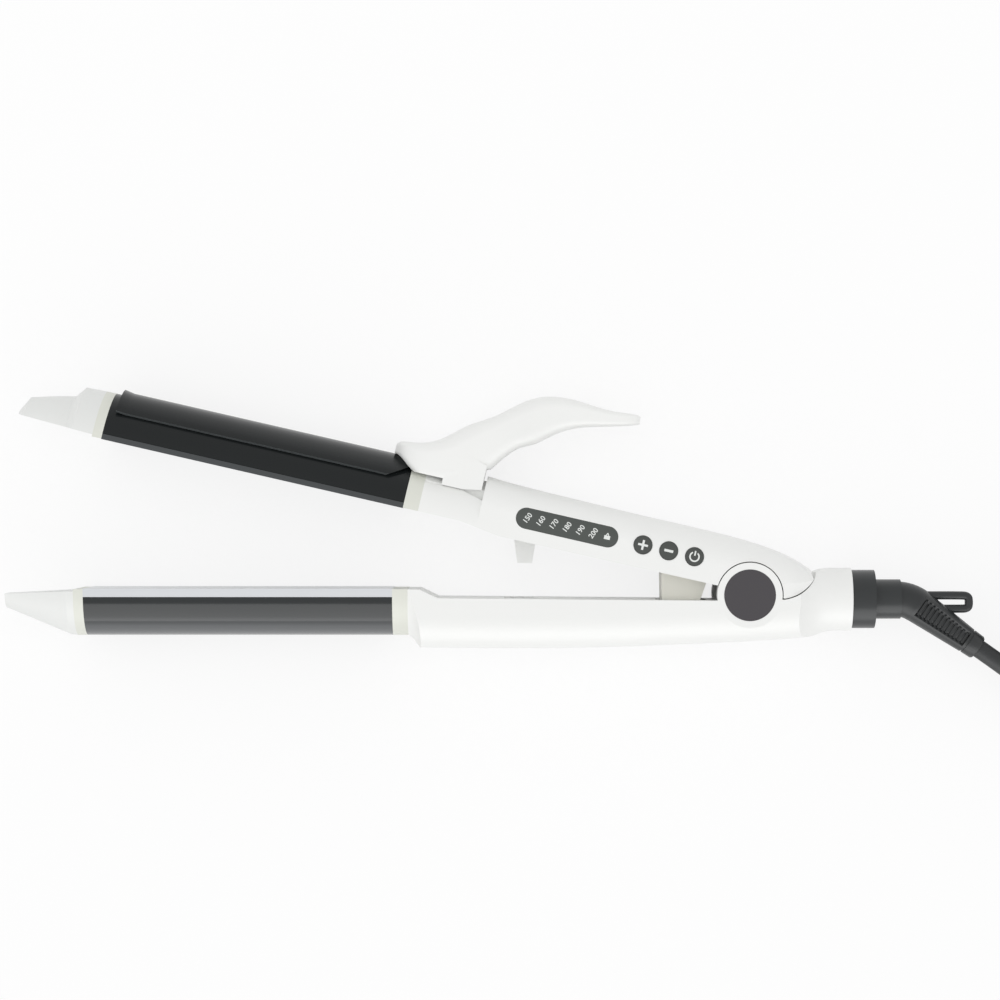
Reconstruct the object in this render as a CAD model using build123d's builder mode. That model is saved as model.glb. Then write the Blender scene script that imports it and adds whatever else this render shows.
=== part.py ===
from build123d import *
from collections import namedtuple
from math import cos, hypot, pi, radians, sin, sqrt, tan
import os

# Two-in-one hair styler: two hinged arms with flat plates inside and a round curling barrel outside.
# It lies on its flank. Origin on the hinge axis at the surface it lies on, +Z up along that axis,
# +X from the barrels to the cord, +Y from the lower arm to the upper arm. Millimetres and degrees.
# Each arm is drawn closed in its own frame: x along the arm, y outwards from the plates,
# z across the arm from the middle plane. The upper arm's frame is turned open by open_angle.

os.makedirs("parts", exist_ok=True)

# Driving dimensions
half_width = 16.5
open_angle = 12.9
barrel_radius = 16.0
barrel_start = 118.0
barrel_length = 102.0
plate_line = 2.3
lever_travel = 15.0
button_travel = 0.4
overrun = 2.0

# Barrels and plates
plate_gap = 0.3
lower_plate_edge = 2.9
upper_plate_edge = 2.0
shell_wall = 1.2
seam = 0.1
rail_height = 1.6
rail_half_width = 9.0
heater_length = 80.0
heater_thickness = 2.4
heater_half_width = 6.0
tongue_half_width = 7.0
tongue_height = 4.5
tongue_length = 9.5
spreader_channel_radius = 3.4
lead_radius = 0.8
lead_spacing = 2.0
fuse_radius = 1.6
fuse_length = 11.0

# Collars, tip rings and tips
collar_length = 5.1
collar_wall = 3.0
tip_ring_length = 3.2
ring_bore = 10.0
tip_spigot_radius = 9.8
tip_spigot_length = 2.4
lower_tip_length = 24.0
upper_tip_length = 27.0
lower_tip_shares = [(0.0, 1.0), (0.1, 0.985), (0.95, 0.455), (1.0, 0.43)]
upper_tip_shares = [(0.0, 1.0), (0.26, 0.985), (0.36, 0.76), (0.60, 0.67), (0.905, 0.53), (1.0, 0.24)]
tip_flat_start = 1.0
tip_flat_end = 2.1

# Handles
handle_front = 112.9
handle_wall = 2.0
handle_corner = 10.0
lower_depth = 17.8
upper_depth = 19.0
lower_crown_shares = [
    (-1.1, 0.97),
    (-1.0, 0.985),
    (-0.8, 1.0),
    (-0.46, 0.99),
    (-0.13, 0.915),
    (0.1, 0.835),
    (0.307, 0.713),
    (0.4, 0.66),
]
upper_crown_shares = [
    (-1.1, 1.02),
    (-1.0, 1.0),
    (-0.925, 0.979),
    (-0.69, 0.953),
    (-0.45, 0.937),
    (-0.215, 0.937),
    (-0.096, 0.926),
    (0.024, 0.884),
    (0.135, 0.779),
    (0.196, 0.668),
    (0.3, 0.4),
]
lower_face_front = -1.9
lower_face_step = 1.0
lower_face_rear = 1.8
upper_face_front = 2.6
upper_face_step = 0.5
upper_face_rear = 0.8
face_land = 3.9
lower_face_slope = 6.0
upper_face_land = 14.1
upper_face_slope = 13.8
rear_length = 34.7
rear_radius = 10.7
rear_axis = 1.7
rear_shoulder_places = [(22.6, -7.4), (24.7, -8.3), (27.0, -8.7)]
rear_shares = [(1.2, 1.0), (1.0, 1.0), (0.8, 1.0), (0.69, 1.084), (0.55, 1.364), (0.4, 1.82), (0.2, 2.9)]
tail_plan_shares = [(0.4, 1.02), (0.5, 1.0), (0.75, 0.95), (1.0, 0.8), (1.2, 0.6)]
flare_length = 3.4
flare_rise = 3.8
flare_shares = [(0.0, 0.0), (0.26, 0.16), (1.0, 1.0), (2.2, 3.2)]
nose_end = 93.0
nose_lap = 1.5
nose_shares = [(0.0, 0.0), (0.45, 0.0), (0.75, 0.6), (1.0, 1.0)]
nose_fullness = 0.6
chamber_length = 5.5
channel_low = 4.6
channel_high = 7.0
channel_half_width = 4.0
channel_run_out = 3.0
tail_reach = 19.7
tail_height = 9.8
tail_heel = 11.5
tail_heel_height = 1.5
tail_belly = 15.9
tail_belly_height = 4.2
tail_corner = 18.2
tail_corner_height = 12.7
seat_gap = 0.35
window_half_width = 7.2
window_low = 3.2
window_high = 11.7

# Handle screws
boss_radius = 3.1
seat_boss_radius = 3.9
screw_radius = 1.25
screw_hole_radius = 1.5
pilot_clearance = 0.04
screw_head_radius = 2.5
screw_head_height = 1.6
screw_seat = 7.0
screw_reach = 9.0
pilot_depth = 10.0
recess_clearance = 0.2
driver_slot_width = 0.8
driver_slot_depth = 0.7
lower_screw_places = [(-92.0, 8.5), (-50.0, 8.5), (16.0, 5.6)]
upper_screw_places = [(-88.2, 10.6), (13.2, 9.4)]

# Hinge
boss_ring_radius = 10.75
disc_radius = 8.5
disc_thickness = 1.5
disc_clearance = 0.05
ear_depth = 4.5
ear_gap = 0.3
knuckle_radius = 9.5
knuckle_thickness = 4.0
knuckle_gap = 0.35
hinge_pin_radius = 3.0
pin_running_clearance = 0.05
pin_head_radius = 4.8
pin_head_height = 1.1
clip_ring_inner = 2.3
clip_ring_thickness = 0.8
clip_ring_outer = 4.4
clip_ring_slot = 3.4
clip_groove_room = 0.1
pin_end_length = 0.6
hinge_spring_wire = 0.8
hinge_spring_radius = 5.2
hinge_spring_pitch = 2.2
hinge_spring_turns = 5.5
hinge_spring_leg = 9.0
flank_clearance = 0.35
spring_room = 7.2

# Shroud, peg and their slots
shroud_front = 29.6
shroud_rear = 14.5
shroud_half_width = 8.0
shroud_depth = 9.6
shroud_rear_depth = 6.6
shroud_front_taper = 2.4
shroud_rear_taper = 0.8
shroud_slot_room = 0.9
shroud_slot_side = 0.5
shroud_wall = 1.6
collar_seat = 0.1
collar_depth = 1.2
collar_rim = 1.3
shroud_collar_height = 4.6
peg_front = 79.6
peg_width = 7.0
peg_tip_width = 4.8
peg_lean = 2.6
peg_depth = 6.9
peg_tip_slope = 1.0
peg_half_width = 3.5
peg_slot_room = 1.4

# Display, board and buttons
control_line = 8.3
window_front = 77.5
window_rear = 50.0
window_radius = 3.46
window_flange = 0.9
flange_thickness = 1.0
part_clearance = 0.05
button_front = 38.1
button_pitch = 8.7
button_radius = 3.05
button_gap = 0.12
button_proud = 0.2
button_flange = 0.6
flange_room = 0.2
stem_radius = 1.5
stem_length = 1.2
board_front = 83.8
board_rear = 12.9
board_low = 3.6
board_high = 12.9
board_thickness = 1.6
board_level = 9.4
board_screw_radius = 0.85
board_screw_head = 1.7
board_screw_head_height = 1.1
board_boss_radius = 1.9
board_screw_end = 13.9
board_hole_clearance = 0.15
board_screw_places = [(-43.8, 5.4), (-15.2, 5.6)]
lamp_block_height = 2.3
lamp_block_half_height = 2.9
lamp_inset = 1.5
switch_size = 5.0
switch_gap = 0.15
chip_place = (-62.0, 8.2)
capacitor_place = (-34.0, 9.0)
chip_length = 8.0
chip_width = 5.0
chip_height = 1.6
capacitor_radius = 3.2
capacitor_length = 9.0

# Curling clip, thumb lever and their pivot
blade_gap = 0.3
blade_thickness = 1.0
blade_half_angle = 54.0
blade_front = 217.5
blade_flare_length = 3.2
blade_flare_rise = 0.6
blade_rear = 105.5
blade_neck = 119.0
blade_neck_length = 7.0
blade_neck_height = 13.9
pivot_back = 100.2
pivot_height = 15.4
lever_length = 77.5
lever_rise = 34.6
lever_depth = 9.3
lever_half_width = 14.6
lever_shares = [
    (-0.320, 0.162, 0.0, 0.14, 0.41),
    (-0.255, 0.150, 0.0, 0.41, 0.85),
    (-0.152, 0.121, 2.0, 0.77, 1.0),
    (-0.043, 0.208, 16.0, 1.0, 0.99),
    (0.090, 0.480, 39.0, 0.74, 0.97),
    (0.208, 0.682, 31.0, 0.757, 0.87),
    (0.303, 0.812, 21.0, 0.677, 0.77),
    (0.415, 0.879, 9.0, 0.46, 0.70),
    (0.522, 0.902, 3.0, 0.295, 0.67),
    (0.641, 0.945, 6.0, 0.19, 0.61),
    (0.676, 0.954, 6.0, 0.13, 0.45),
]
lever_corner_share = 0.6
saddle_clearance = 0.05
saddle_edge = 15.0
ear_inner = 11.9
ear_outer = 14.4
ear_swing = 6.2
ear_front_reach = 7.1
ear_low = 2.5
ear_rise = 1.1
ear_top = 24.0
ear_brow = 22.3
notch_room = 0.3
crown_cut = 17.3
crown_cut_front = 106.0
underside_shares = [(0.3, 0.0), (0.32, 0.34), (0.644, 0.622), (1.1, 0.767), (1.756, 0.967), (2.6, 1.2)]
underside_scale = 9.0
clip_pin_radius = 1.4
clip_pin_reach = 13.6
cheek_radius = 3.3
cheek_inner = 8.3
cheek_outer = 11.6
cheek_clearance = 0.35
pocket_front = 5.6
pocket_rear = 5.4
pocket_floor = 9.0
rivet_radius = 1.3
rivet_height = 3.6
rivet_places = [117.0, 110.5]
clip_spring_wire = 0.45
clip_spring_radius = 2.6
clip_spring_pitch = 1.3
clip_spring_turns = 7.5
clip_spring_leg = 4.2

# Cord swivel and strain relief
swivel_inner_end = 23.4
slip_ring_start = 24.2
slip_ring_width = 1.5
slip_ring_pitch = 2.6
slip_ring_radius = 4.3
slip_ring_clearance = 0.02
stem_core_radius = 3.6
swivel_flange_radius = 7.8
swivel_flange_thickness = 2.0
swivel_shaft_radius = 5.9
swivel_bore = 5.95
rib_start = 29.2
rib_thickness = 0.9
rib_bore = 4.6
swivel_face_gap = 0.25
swivel_collar_length = 7.6
swivel_collar_radius = 9.75
swivel_neck_length = 8.75
swivel_neck_radius = 6.6
brush_gap = 0.05
brush_width = 1.4
brush_length = 1.3
brush_top = 10.15
relief_start_length = 2.7
relief_ball_radius = 5.9
relief_angle = 35.0
relief_start_radius = 5.4
relief_end_radius = 3.8
relief_length = 24.0
relief_rib_height = 0.5
relief_rib_width = 0.8
relief_rib_count = 12
relief_rib_pitch = 1.6
relief_rib_start = 5.2
relief_cap_length = 4.6
relief_cap_radius = 4.2
loop_wire = 1.45
loop_top = 0.5
loop_start = 57.5
loop_reach = 72.1
loop_end_radius = 2.23
loop_foot = 63.0

# Leads inside the handles
lead_start = 124.0
lead_level = 0.9
lower_lead_turn = 106.0
lower_lead_floor = 13.6
lower_lead_down = 98.2
lower_lead_end = 38.0
mains_lead_spacing = 6.4
mains_lead_level = 11.6
mains_lead_front = 6.0
mains_lead_turn = 14.0
mains_lead_drop = 21.5
mains_lead_rear_level = 9.2
upper_lead_turn = 112.2
upper_lead_down = 107.8
upper_lead_level = 5.6
upper_lead_rise = 83.4
upper_lead_end = 74.0
upper_lead_board = 8.3
upper_lead_spread = 1.4
lead_bend = 2.5
hinge_lead_top = (-22.0, 4.6)
hinge_lead_spread = 4.2

# Cord, coil and plug
cord_diameter = 6.2
coil_centre = (144.0, -5.6)
coil_start_angle = 232.0
coil_turns = 7.25
coil_outer_radius = 49.4
coil_step = 6.8
coil_climb_share = 0.48
coil_node_count = 28
coil_nodes_per_turn = 4
coil_check_step = 2.0
coil_check_skip = 20.0
bend_share = 0.45
lead_end_run = 7.0
lead_middle_shares = [(0.333, 0.24), (0.667, 0.76)]
tail_run = 7.5
tail_rise_shares = [0.0, 0.0, 0.44, 1.0, 1.0]
plug_relief_length = 13.0
plug_relief_start_radius = 4.1
plug_relief_end_radius = 5.2
plug_length = 27.0
plug_width = 22.0
plug_height = 11.2
plug_corner = 3.0
blade_length = 17.0
blade_width = 6.35
blade_pin_thickness = 1.5
blade_spacing = 12.7
blade_socket = 8.0
blade_room = 0.02
blade_hole_radius = 1.6
blade_hole_place = 12.0

barrel_end = barrel_start + barrel_length
cord_radius = cord_diameter / 2

Arm = namedtuple("Arm", "name frame barrel near plate_edge")


def moved(frame, x, y, z=0):
    """The same frame with its origin moved along its own axes."""
    return Plane(origin=frame.from_local_coords(Vector(x, y, z)), x_dir=frame.x_dir, z_dir=frame.z_dir)


def across(frame, x):
    """Plane square to an arm at x, its x along the arm's y and its y along the arm's z."""
    return Plane(origin=frame.from_local_coords(Vector(x, 0, 0)), x_dir=frame.y_dir, z_dir=frame.x_dir)


def plan(frame, y=0):
    """Plane parallel to the plates at y, its x along the arm and its normal outwards."""
    return Plane(origin=frame.from_local_coords(Vector(0, y, 0)), x_dir=frame.x_dir, z_dir=frame.y_dir)


lower_frame = Plane(origin=(0, 0, half_width), x_dir=(1, 0, 0), z_dir=(0, 0, -1))
closed_frame = Plane(origin=(0, 0, half_width), x_dir=(1, 0, 0), z_dir=(0, 0, 1))
upper_frame = closed_frame.rotated((0, 0, -open_angle))
lower = Arm("lower", lower_frame, moved(lower_frame, 0, -plate_line), -1, lower_plate_edge)
upper = Arm("upper", upper_frame, moved(upper_frame, 0, plate_line), 1, upper_plate_edge)
arms = [lower, upper]


def write(piece, name):
    """Name a finished piece and write it."""
    piece.part.label = name
    export_step(piece.part, f"parts/{name}.step")


def band(low, high, half, mode=Mode.ADD):
    """In an across sketch, a bar from low to high along y and half to each side along z."""
    with Locations((low, 0)):
        Rectangle(high - low, 2 * half, align=(Align.MIN, Align.CENTER), mode=mode)


def turned(point):
    """A point of the closed upper arm, in the row frame at rest."""
    place = upper_frame.from_local_coords(Vector(point[0], point[1], 0))
    return place.X, place.Y


# Barrel halves, plates and heaters
def barrel_plate(arm):
    with BuildPart() as plate:
        with BuildSketch(across(arm.barrel, -barrel_end)):
            Circle(barrel_radius)
            band(plate_gap / 2, arm.plate_edge, barrel_radius, mode=Mode.INTERSECT)
            band(arm.plate_edge, arm.plate_edge + rail_height, rail_half_width)
        extrude(amount=barrel_length)
    return plate


def barrel_shell(arm):
    with BuildPart() as shell:
        with BuildSketch(across(arm.barrel, -barrel_end)):
            Circle(barrel_radius)
            Circle(barrel_radius - shell_wall, mode=Mode.SUBTRACT)
            band(arm.plate_edge + seam, barrel_radius, barrel_radius, mode=Mode.INTERSECT)
        extrude(amount=barrel_length)
    return shell


def heater(arm):
    start = barrel_end - (barrel_length - heater_length) / 2
    with BuildPart() as strip:
        with BuildSketch(across(arm.barrel, -start)):
            low = arm.plate_edge + rail_height
            band(low, low + heater_thickness, heater_half_width)
        extrude(amount=heater_length)
    return strip


def heat_spreader(arm):
    low = arm.plate_edge + rail_height + heater_thickness
    with BuildPart() as spreader:
        with BuildSketch(across(arm.barrel, -barrel_end)):
            Circle(barrel_radius - shell_wall - pin_running_clearance)
            band(low, barrel_radius, barrel_radius, mode=Mode.INTERSECT)
            with Locations((low, 0)):
                Circle(spreader_channel_radius, mode=Mode.SUBTRACT)
        extrude(amount=barrel_length)
        with BuildSketch(across(arm.barrel, -barrel_start)):
            band(low, low + tongue_height, tongue_half_width)
        extrude(amount=tongue_length)
        with BuildSketch(across(arm.barrel, -barrel_end)):
            with Locations((low, 0)):
                Circle(spreader_channel_radius)
        extrude(amount=barrel_length + tongue_length, mode=Mode.SUBTRACT)
    return spreader


def thermal_fuse(arm):
    low = arm.plate_edge + rail_height + heater_thickness
    start = barrel_start + (barrel_length + fuse_length) / 2
    with BuildPart() as fuse:
        with BuildSketch(across(moved(arm.barrel, 0, low + fuse_radius), -start)):
            Circle(fuse_radius - part_clearance)
        extrude(amount=fuse_length)
    return fuse


def collar(arm):
    with BuildPart() as ring:
        with BuildSketch(across(arm.barrel, -barrel_start)):
            Circle(barrel_radius)
            band(plate_gap, barrel_radius, barrel_radius, mode=Mode.INTERSECT)
            Circle(barrel_radius - collar_wall, mode=Mode.SUBTRACT)
            band(plate_gap, window_low, barrel_radius - collar_wall / 2)
            Circle(barrel_radius)
            band(plate_gap, barrel_radius, barrel_radius, mode=Mode.INTERSECT)
            band(window_low, window_high, window_half_width, mode=Mode.SUBTRACT)
        extrude(amount=collar_length)
    return ring


def tip_ring(arm):
    with BuildPart() as ring:
        with BuildSketch(across(arm.barrel, -barrel_end - tip_ring_length)):
            Circle(barrel_radius)
            band(plate_gap, barrel_radius, barrel_radius, mode=Mode.INTERSECT)
            Circle(ring_bore, mode=Mode.SUBTRACT)
            band(plate_gap, arm.plate_edge, ring_bore)
        extrude(amount=tip_ring_length)
    return ring


def tip(arm, length, shares):
    """Half of the cool tip, turned about the barrel's axis and cut flat on the inside."""
    base = barrel_end + tip_ring_length
    profile = [(-base - length * along, barrel_radius * out) for along, out in shares]
    with BuildPart() as nose:
        with BuildSketch(arm.barrel):
            with BuildLine():
                Polyline((-base, 0), *profile, (-base - length, 0), close=True)
            make_face()
        revolve(axis=Axis(arm.barrel.origin, arm.barrel.x_dir), revolution_arc=360)
        with BuildSketch(across(arm.barrel, -base)):
            Circle(tip_spigot_radius)
        extrude(amount=tip_spigot_length)
        with BuildSketch(arm.barrel):
            with BuildLine():
                Polyline(
                    (-base + tip_spigot_length + overrun, arm.plate_edge + seam),
                    (-base, arm.plate_edge + seam),
                    (-base, tip_flat_start),
                    (-base - length - overrun, tip_flat_end),
                    (-base - length - overrun, -2 * barrel_radius),
                    (-base + tip_spigot_length + overrun, -2 * barrel_radius),
                    close=True,
                )
            make_face()
        extrude(amount=2 * barrel_radius, both=True, mode=Mode.SUBTRACT)
    return nose


for arm in arms:
    write(barrel_plate(arm), f"{arm.name}_plate")
    write(barrel_shell(arm), f"{arm.name}_barrel_shell")
    write(heater(arm), f"{arm.name}_heater")
    write(heat_spreader(arm), f"{arm.name}_heat_spreader")
    write(collar(arm), f"{arm.name}_heat_collar")
    write(tip_ring(arm), f"{arm.name}_tip_ring")
write(thermal_fuse(upper), "thermal_fuse")
write(tip(lower, lower_tip_length, lower_tip_shares), "lower_cool_tip")
write(tip(upper, upper_tip_length, upper_tip_shares), "upper_cool_tip")


# Handle outlines and shells
tail_points = [(tail_heel, tail_heel_height), (tail_belly, tail_belly_height), (tail_reach, tail_height)]
tail_centre = (tail_heel / 2, tail_corner_height)


def seat_points():
    """The tail's lower edge at rest, moved off by the seat gap, in the lower arm's frame."""
    middle = turned(tail_centre)
    places = []
    for point in tail_points:
        x, y = turned(point)
        reach = hypot(x - middle[0], y - middle[1])
        places.append((x + seat_gap * (x - middle[0]) / reach, -y - seat_gap * (y - middle[1]) / reach))
    return places


def lower_outline():
    step = -handle_front + face_land
    before = [(-handle_front, lower_face_front), (step, lower_face_front)]
    before.append((step + lower_face_slope, lower_face_step))
    before.append((-tail_heel, lower_face_rear))
    after = rear_shoulder_places + [(rear_length, rear_shoulder_places[-1][1])]
    after.append((rear_length, 2 * lower_depth))
    after.append((-handle_front, 2 * lower_depth))
    return before, seat_points(), after


def upper_outline():
    land = -handle_front + upper_face_land
    slope = (upper_face_front - upper_face_step) / upper_face_slope
    front = upper_face_front - slope * (-nose_end - land)
    before = [(-nose_end, front), (land + upper_face_slope, upper_face_step), (0, upper_face_rear)]
    after = [(tail_corner, tail_corner_height)]
    after.append((tail_corner, 2 * upper_depth))
    after.append((-nose_end, 2 * upper_depth))
    return before, tail_points, after


def handle_body(arm, outline, crown_shares, crown_size, side, inset):
    """Half of a handle on one side of its middle plane, moved in by the inset."""
    before, curve, after = outline
    crown = [(along * crown_size[0], out * crown_size[1] - inset) for along, out in crown_shares]
    with BuildPart() as body:
        with BuildSketch(arm.frame):
            with BuildLine():
                Spline(*crown)
                Polyline(crown[-1], (crown[-1][0], -crown_size[1]), (crown[0][0], -crown_size[1]), crown[0])
            make_face()
        extrude(amount=side * (half_width - inset))
        outward = Axis(arm.frame.origin, arm.frame.z_dir * side)
        edge = body.edges().filter_by(GeomType.BSPLINE).sort_by(outward)[-1]
        fillet(edge, radius=handle_corner - inset)
        with BuildSketch(arm.frame):
            with BuildLine():
                if inset:
                    Polyline(*before, *curve, *after, close=True)
                else:
                    Polyline(*before, curve[0])
                    Spline(*curve)
                    Polyline(curve[-1], *after, before[0])
            make_face()
            if inset:
                offset(amount=-inset, kind=Kind.INTERSECTION)
        extrude(amount=side * half_width, mode=Mode.INTERSECT)
    return body


def turned_between(body, axis_frame, profile, far):
    """Keep what lies inside (x, radius) points turned about a frame's x axis and held straight to far."""
    with BuildPart() as kept:
        add(body.part)
        with BuildSketch(axis_frame):
            with BuildLine():
                Spline(*profile)
                Polyline(profile[-1], (far, profile[-1][1]), (far, 0), (profile[0][0], 0), profile[0])
            make_face()
        revolve(axis=Axis(axis_frame.origin, axis_frame.x_dir), revolution_arc=360, mode=Mode.INTERSECT)
    return kept


def lower_body(side, inset):
    crown_size = (handle_front, lower_depth)
    block = handle_body(lower, lower_outline(), lower_crown_shares, crown_size, side, inset)
    rear = [(along * rear_length, out * rear_radius - inset) for along, out in rear_shares]
    block = turned_between(block, moved(lower.frame, 0, rear_axis), rear, -2 * handle_front)
    flare = [
        (-handle_front + inset + along * flare_length, barrel_radius - inset + out * flare_rise)
        for along, out in flare_shares
    ]
    return turned_between(block, lower.barrel, flare, 2 * handle_front)


def upper_body(side, inset):
    """The upper handle behind its nose, narrowed in plan towards the tail."""
    block = handle_body(upper, upper_outline(), upper_crown_shares, (nose_end, upper_depth), side, inset)
    taper = [(along * tail_reach, side * (out * half_width - inset)) for along, out in tail_plan_shares]
    with BuildPart() as body:
        add(block.part)
        with BuildSketch(plan(upper.frame)):
            with BuildLine():
                Spline(*[(x, -out) for x, out in taper])
                Polyline(
                    (taper[-1][0], -taper[-1][1]),
                    (taper[-1][0], 0),
                    (-2 * nose_end, 0),
                    (-2 * nose_end, -taper[0][1]),
                    (taper[0][0], -taper[0][1]),
                )
            make_face()
        extrude(amount=2 * half_width, both=True, mode=Mode.INTERSECT)
    return body


def upper_nose(side):
    """The round nose between the collar and the handle's front face."""
    length = handle_front - nose_end + nose_lap
    profile = [
        (-handle_front + along * length, barrel_radius + out * nose_fullness)
        for along, out in nose_shares
    ]
    land = -handle_front + upper_face_land
    with BuildPart() as nose:
        with BuildSketch(upper.barrel):
            with BuildLine():
                Spline(*profile)
                Polyline(profile[-1], (profile[-1][0], 0), (profile[0][0], 0), profile[0])
            make_face()
        revolve(axis=Axis(upper.barrel.origin, upper.barrel.x_dir), revolution_arc=360)
        with BuildSketch(upper.frame):
            with BuildLine():
                Polyline(
                    (-handle_front, upper_face_front),
                    (land, upper_face_front),
                    (land + upper_face_slope, upper_face_step),
                    (land + upper_face_slope, crown_cut),
                    (-crown_cut_front, crown_cut),
                    (-crown_cut_front, 2 * crown_cut),
                    (-handle_front, 2 * crown_cut),
                    close=True,
                )
            make_face()
        extrude(amount=side * half_width, mode=Mode.INTERSECT)
    return nose


def column(frame, places, radius, low, high, side):
    """Round columns across an arm from low to high off the middle plane."""
    with BuildPart() as columns:
        with BuildSketch(frame.offset(side * low)):
            with Locations(*places):
                Circle(radius)
        extrude(amount=side * (high - low))
    return columns


def across_box(frame, x_span, y_span, z_span, side):
    """A block between two x, two y and two z distances on one side of the middle plane."""
    with BuildPart() as block:
        with BuildSketch(frame.offset(side * z_span[0])):
            with Locations((x_span[0], y_span[0])):
                Rectangle(x_span[1] - x_span[0], y_span[1] - y_span[0], align=(Align.MIN, Align.MIN))
        extrude(amount=side * (z_span[1] - z_span[0]))
    return block


def inside(form, blocks):
    """The blocks, trimmed to what lies inside a form."""
    with BuildPart() as trimmed:
        for block in blocks:
            add(block.part)
        add(form.part, mode=Mode.INTERSECT)
    return trimmed


ear_inner_face = half_width - ear_depth
flank_inner = half_width - handle_wall
outside = half_width + overrun
disc_seat = half_width - disc_thickness
board_top = board_level + board_thickness
flange_low = flank_inner - flange_thickness


def joined(solid, added, removed):
    """A solid with pieces added to it and then others taken away."""
    with BuildPart() as result:
        add(solid.part)
        for block in added:
            add(block.part)
        for block in removed:
            add(block.part, mode=Mode.SUBTRACT)
    return result


def pair(pieces):
    return joined(pieces[0], pieces[1:], [])


def screw_bosses(arm, places, side):
    """Columns for the handle screws: pilot bosses in the near half, seats in the far half."""
    if side == arm.near:
        return column(arm.frame, places, boss_radius, 0, half_width, side)
    return column(arm.frame, places, seat_boss_radius, 0, half_width, side)


def screw_holes(arm, places, side):
    if side == arm.near:
        return [column(arm.frame, places, screw_radius + pilot_clearance, -overrun, pilot_depth, side)]
    seat_radius = screw_head_radius + recess_clearance
    seat = column(arm.frame, places, seat_radius, screw_seat, outside, side)
    return [column(arm.frame, places, screw_hole_radius, -overrun, half_width, side), seat]


def front_window(arm, side, depth):
    """The opening in a handle's front wall for the heat spreader's tongue and the leads."""
    x_span = (-handle_front - overrun, -handle_front + depth)
    return across_box(arm.barrel, x_span, (window_low, window_high), (-overrun, window_half_width), side)


def hinge_hole(radius, low, high, side, frame):
    return column(frame, [(0, 0)], radius, low, high, side)


def lower_half(side):
    form = lower_body(side, 0)
    cavity = lower_body(side, handle_wall)
    bosses = screw_bosses(lower, lower_screw_places, side)
    axis_frame = moved(lower.frame, 0, rear_axis)
    rib = across_disc(axis_frame, rib_start, rib_thickness, 2 * rear_radius, rib_bore)
    ribs = inside(form, [bosses, rib])
    ear = hinge_hole(boss_ring_radius, ear_inner_face, half_width, side, lower.frame)
    pin_seat = flank_inner - pin_head_height
    shroud_span = (-shroud_front - shroud_slot_room, -shroud_rear + shroud_slot_room)
    peg_span = (-peg_front - peg_slot_room, -peg_front + peg_width + peg_slot_room)
    wall_span = (-overrun, lower_face_rear + handle_wall + overrun)
    shroud_half = shroud_half_width + shroud_slot_side
    peg_half = peg_half_width + shroud_slot_side
    bore_start = rear_length - handle_wall - overrun
    removed = screw_holes(lower, lower_screw_places, side)
    removed += [
        hinge_hole(knuckle_radius + knuckle_gap, -overrun, ear_inner_face, side, lower.frame),
        hinge_hole(hinge_pin_radius + pin_running_clearance, -overrun, outside, side, lower.frame),
        hinge_hole(pin_head_radius + recess_clearance, pin_seat, outside, side, lower.frame),
        hinge_hole(disc_radius + disc_clearance, disc_seat, outside, side, lower.frame),
        across_box(lower.frame, shroud_span, wall_span, (-overrun, shroud_half), side),
        across_box(lower.frame, peg_span, wall_span, (-overrun, peg_half), side),
        front_window(lower, side, handle_wall + overrun),
        across_disc(axis_frame, bore_start, handle_wall + 2 * overrun, swivel_bore, 0),
    ]
    shell = joined(form, [], [cavity])
    return joined(shell, [ribs, ear], removed)


def upper_half(side):
    main = upper_body(side, 0)
    cavity = upper_body(side, handle_wall)
    nose = upper_nose(side)
    form = joined(main, [nose], [])
    knuckle_side = (ear_inner_face - ear_gap - knuckle_thickness, ear_inner_face - ear_gap)
    knuckle = hinge_hole(knuckle_radius, *knuckle_side, side, upper.frame)
    web = across_box(upper.frame, (-knuckle_radius, knuckle_radius), (0, upper_depth), knuckle_side, side)
    bosses = screw_bosses(upper, upper_screw_places, side)
    pieces = [bosses, web]
    if side == upper.near:
        board_bosses = (board_boss_radius, board_top, half_width, side)
        pieces.append(column(upper.frame, board_screw_places, *board_bosses))
    ribs = inside(form, pieces)
    pivot_place = (-pivot_back, pivot_height)
    cheek = column(upper.frame, [pivot_place], cheek_radius, cheek_inner, cheek_outer, side)
    pocket_span = (-pivot_back - pocket_front, -pivot_back + pocket_rear)
    pocket_rise = (pocket_floor, 2 * upper_depth)
    flank_cut = hinge_hole(boss_ring_radius + flank_clearance, knuckle_side[1], outside, side, upper.frame)
    removed = screw_holes(upper, upper_screw_places, side)
    removed += [
        hinge_hole(spring_room, -overrun, knuckle_side[0], side, upper.frame),
        hinge_hole(hinge_pin_radius + pin_running_clearance, -overrun, half_width, side, upper.frame),
        across_box(upper.frame, pocket_span, pocket_rise, (-overrun, cheek_inner), side),
        column(upper.frame, [pivot_place], clip_pin_radius + part_clearance, 0, half_width, side),
        front_window(upper, side, chamber_length),
        across_box(
            upper.frame,
            (-handle_front + chamber_length - overrun, -nose_end + channel_run_out),
            (channel_low, channel_high),
            (-overrun, channel_half_width),
            side,
        ),
        across_box(
            upper.frame,
            (-shroud_front - part_clearance, -shroud_rear + part_clearance),
            (-overrun, shroud_collar_height),
            (-overrun, shroud_half_width + part_clearance),
            side,
        ),
        across_box(
            upper.frame,
            (-peg_front - part_clearance, -peg_front + peg_width + part_clearance),
            (-overrun, shroud_collar_height),
            (-overrun, peg_half_width + part_clearance),
            side,
        ),
        ear_notch(side),
    ]
    if side == upper.near:
        removed += control_openings(side)
    shell = joined(main, [nose], [cavity, flank_cut])
    return joined(shell, [ribs, knuckle, cheek], removed)


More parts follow.
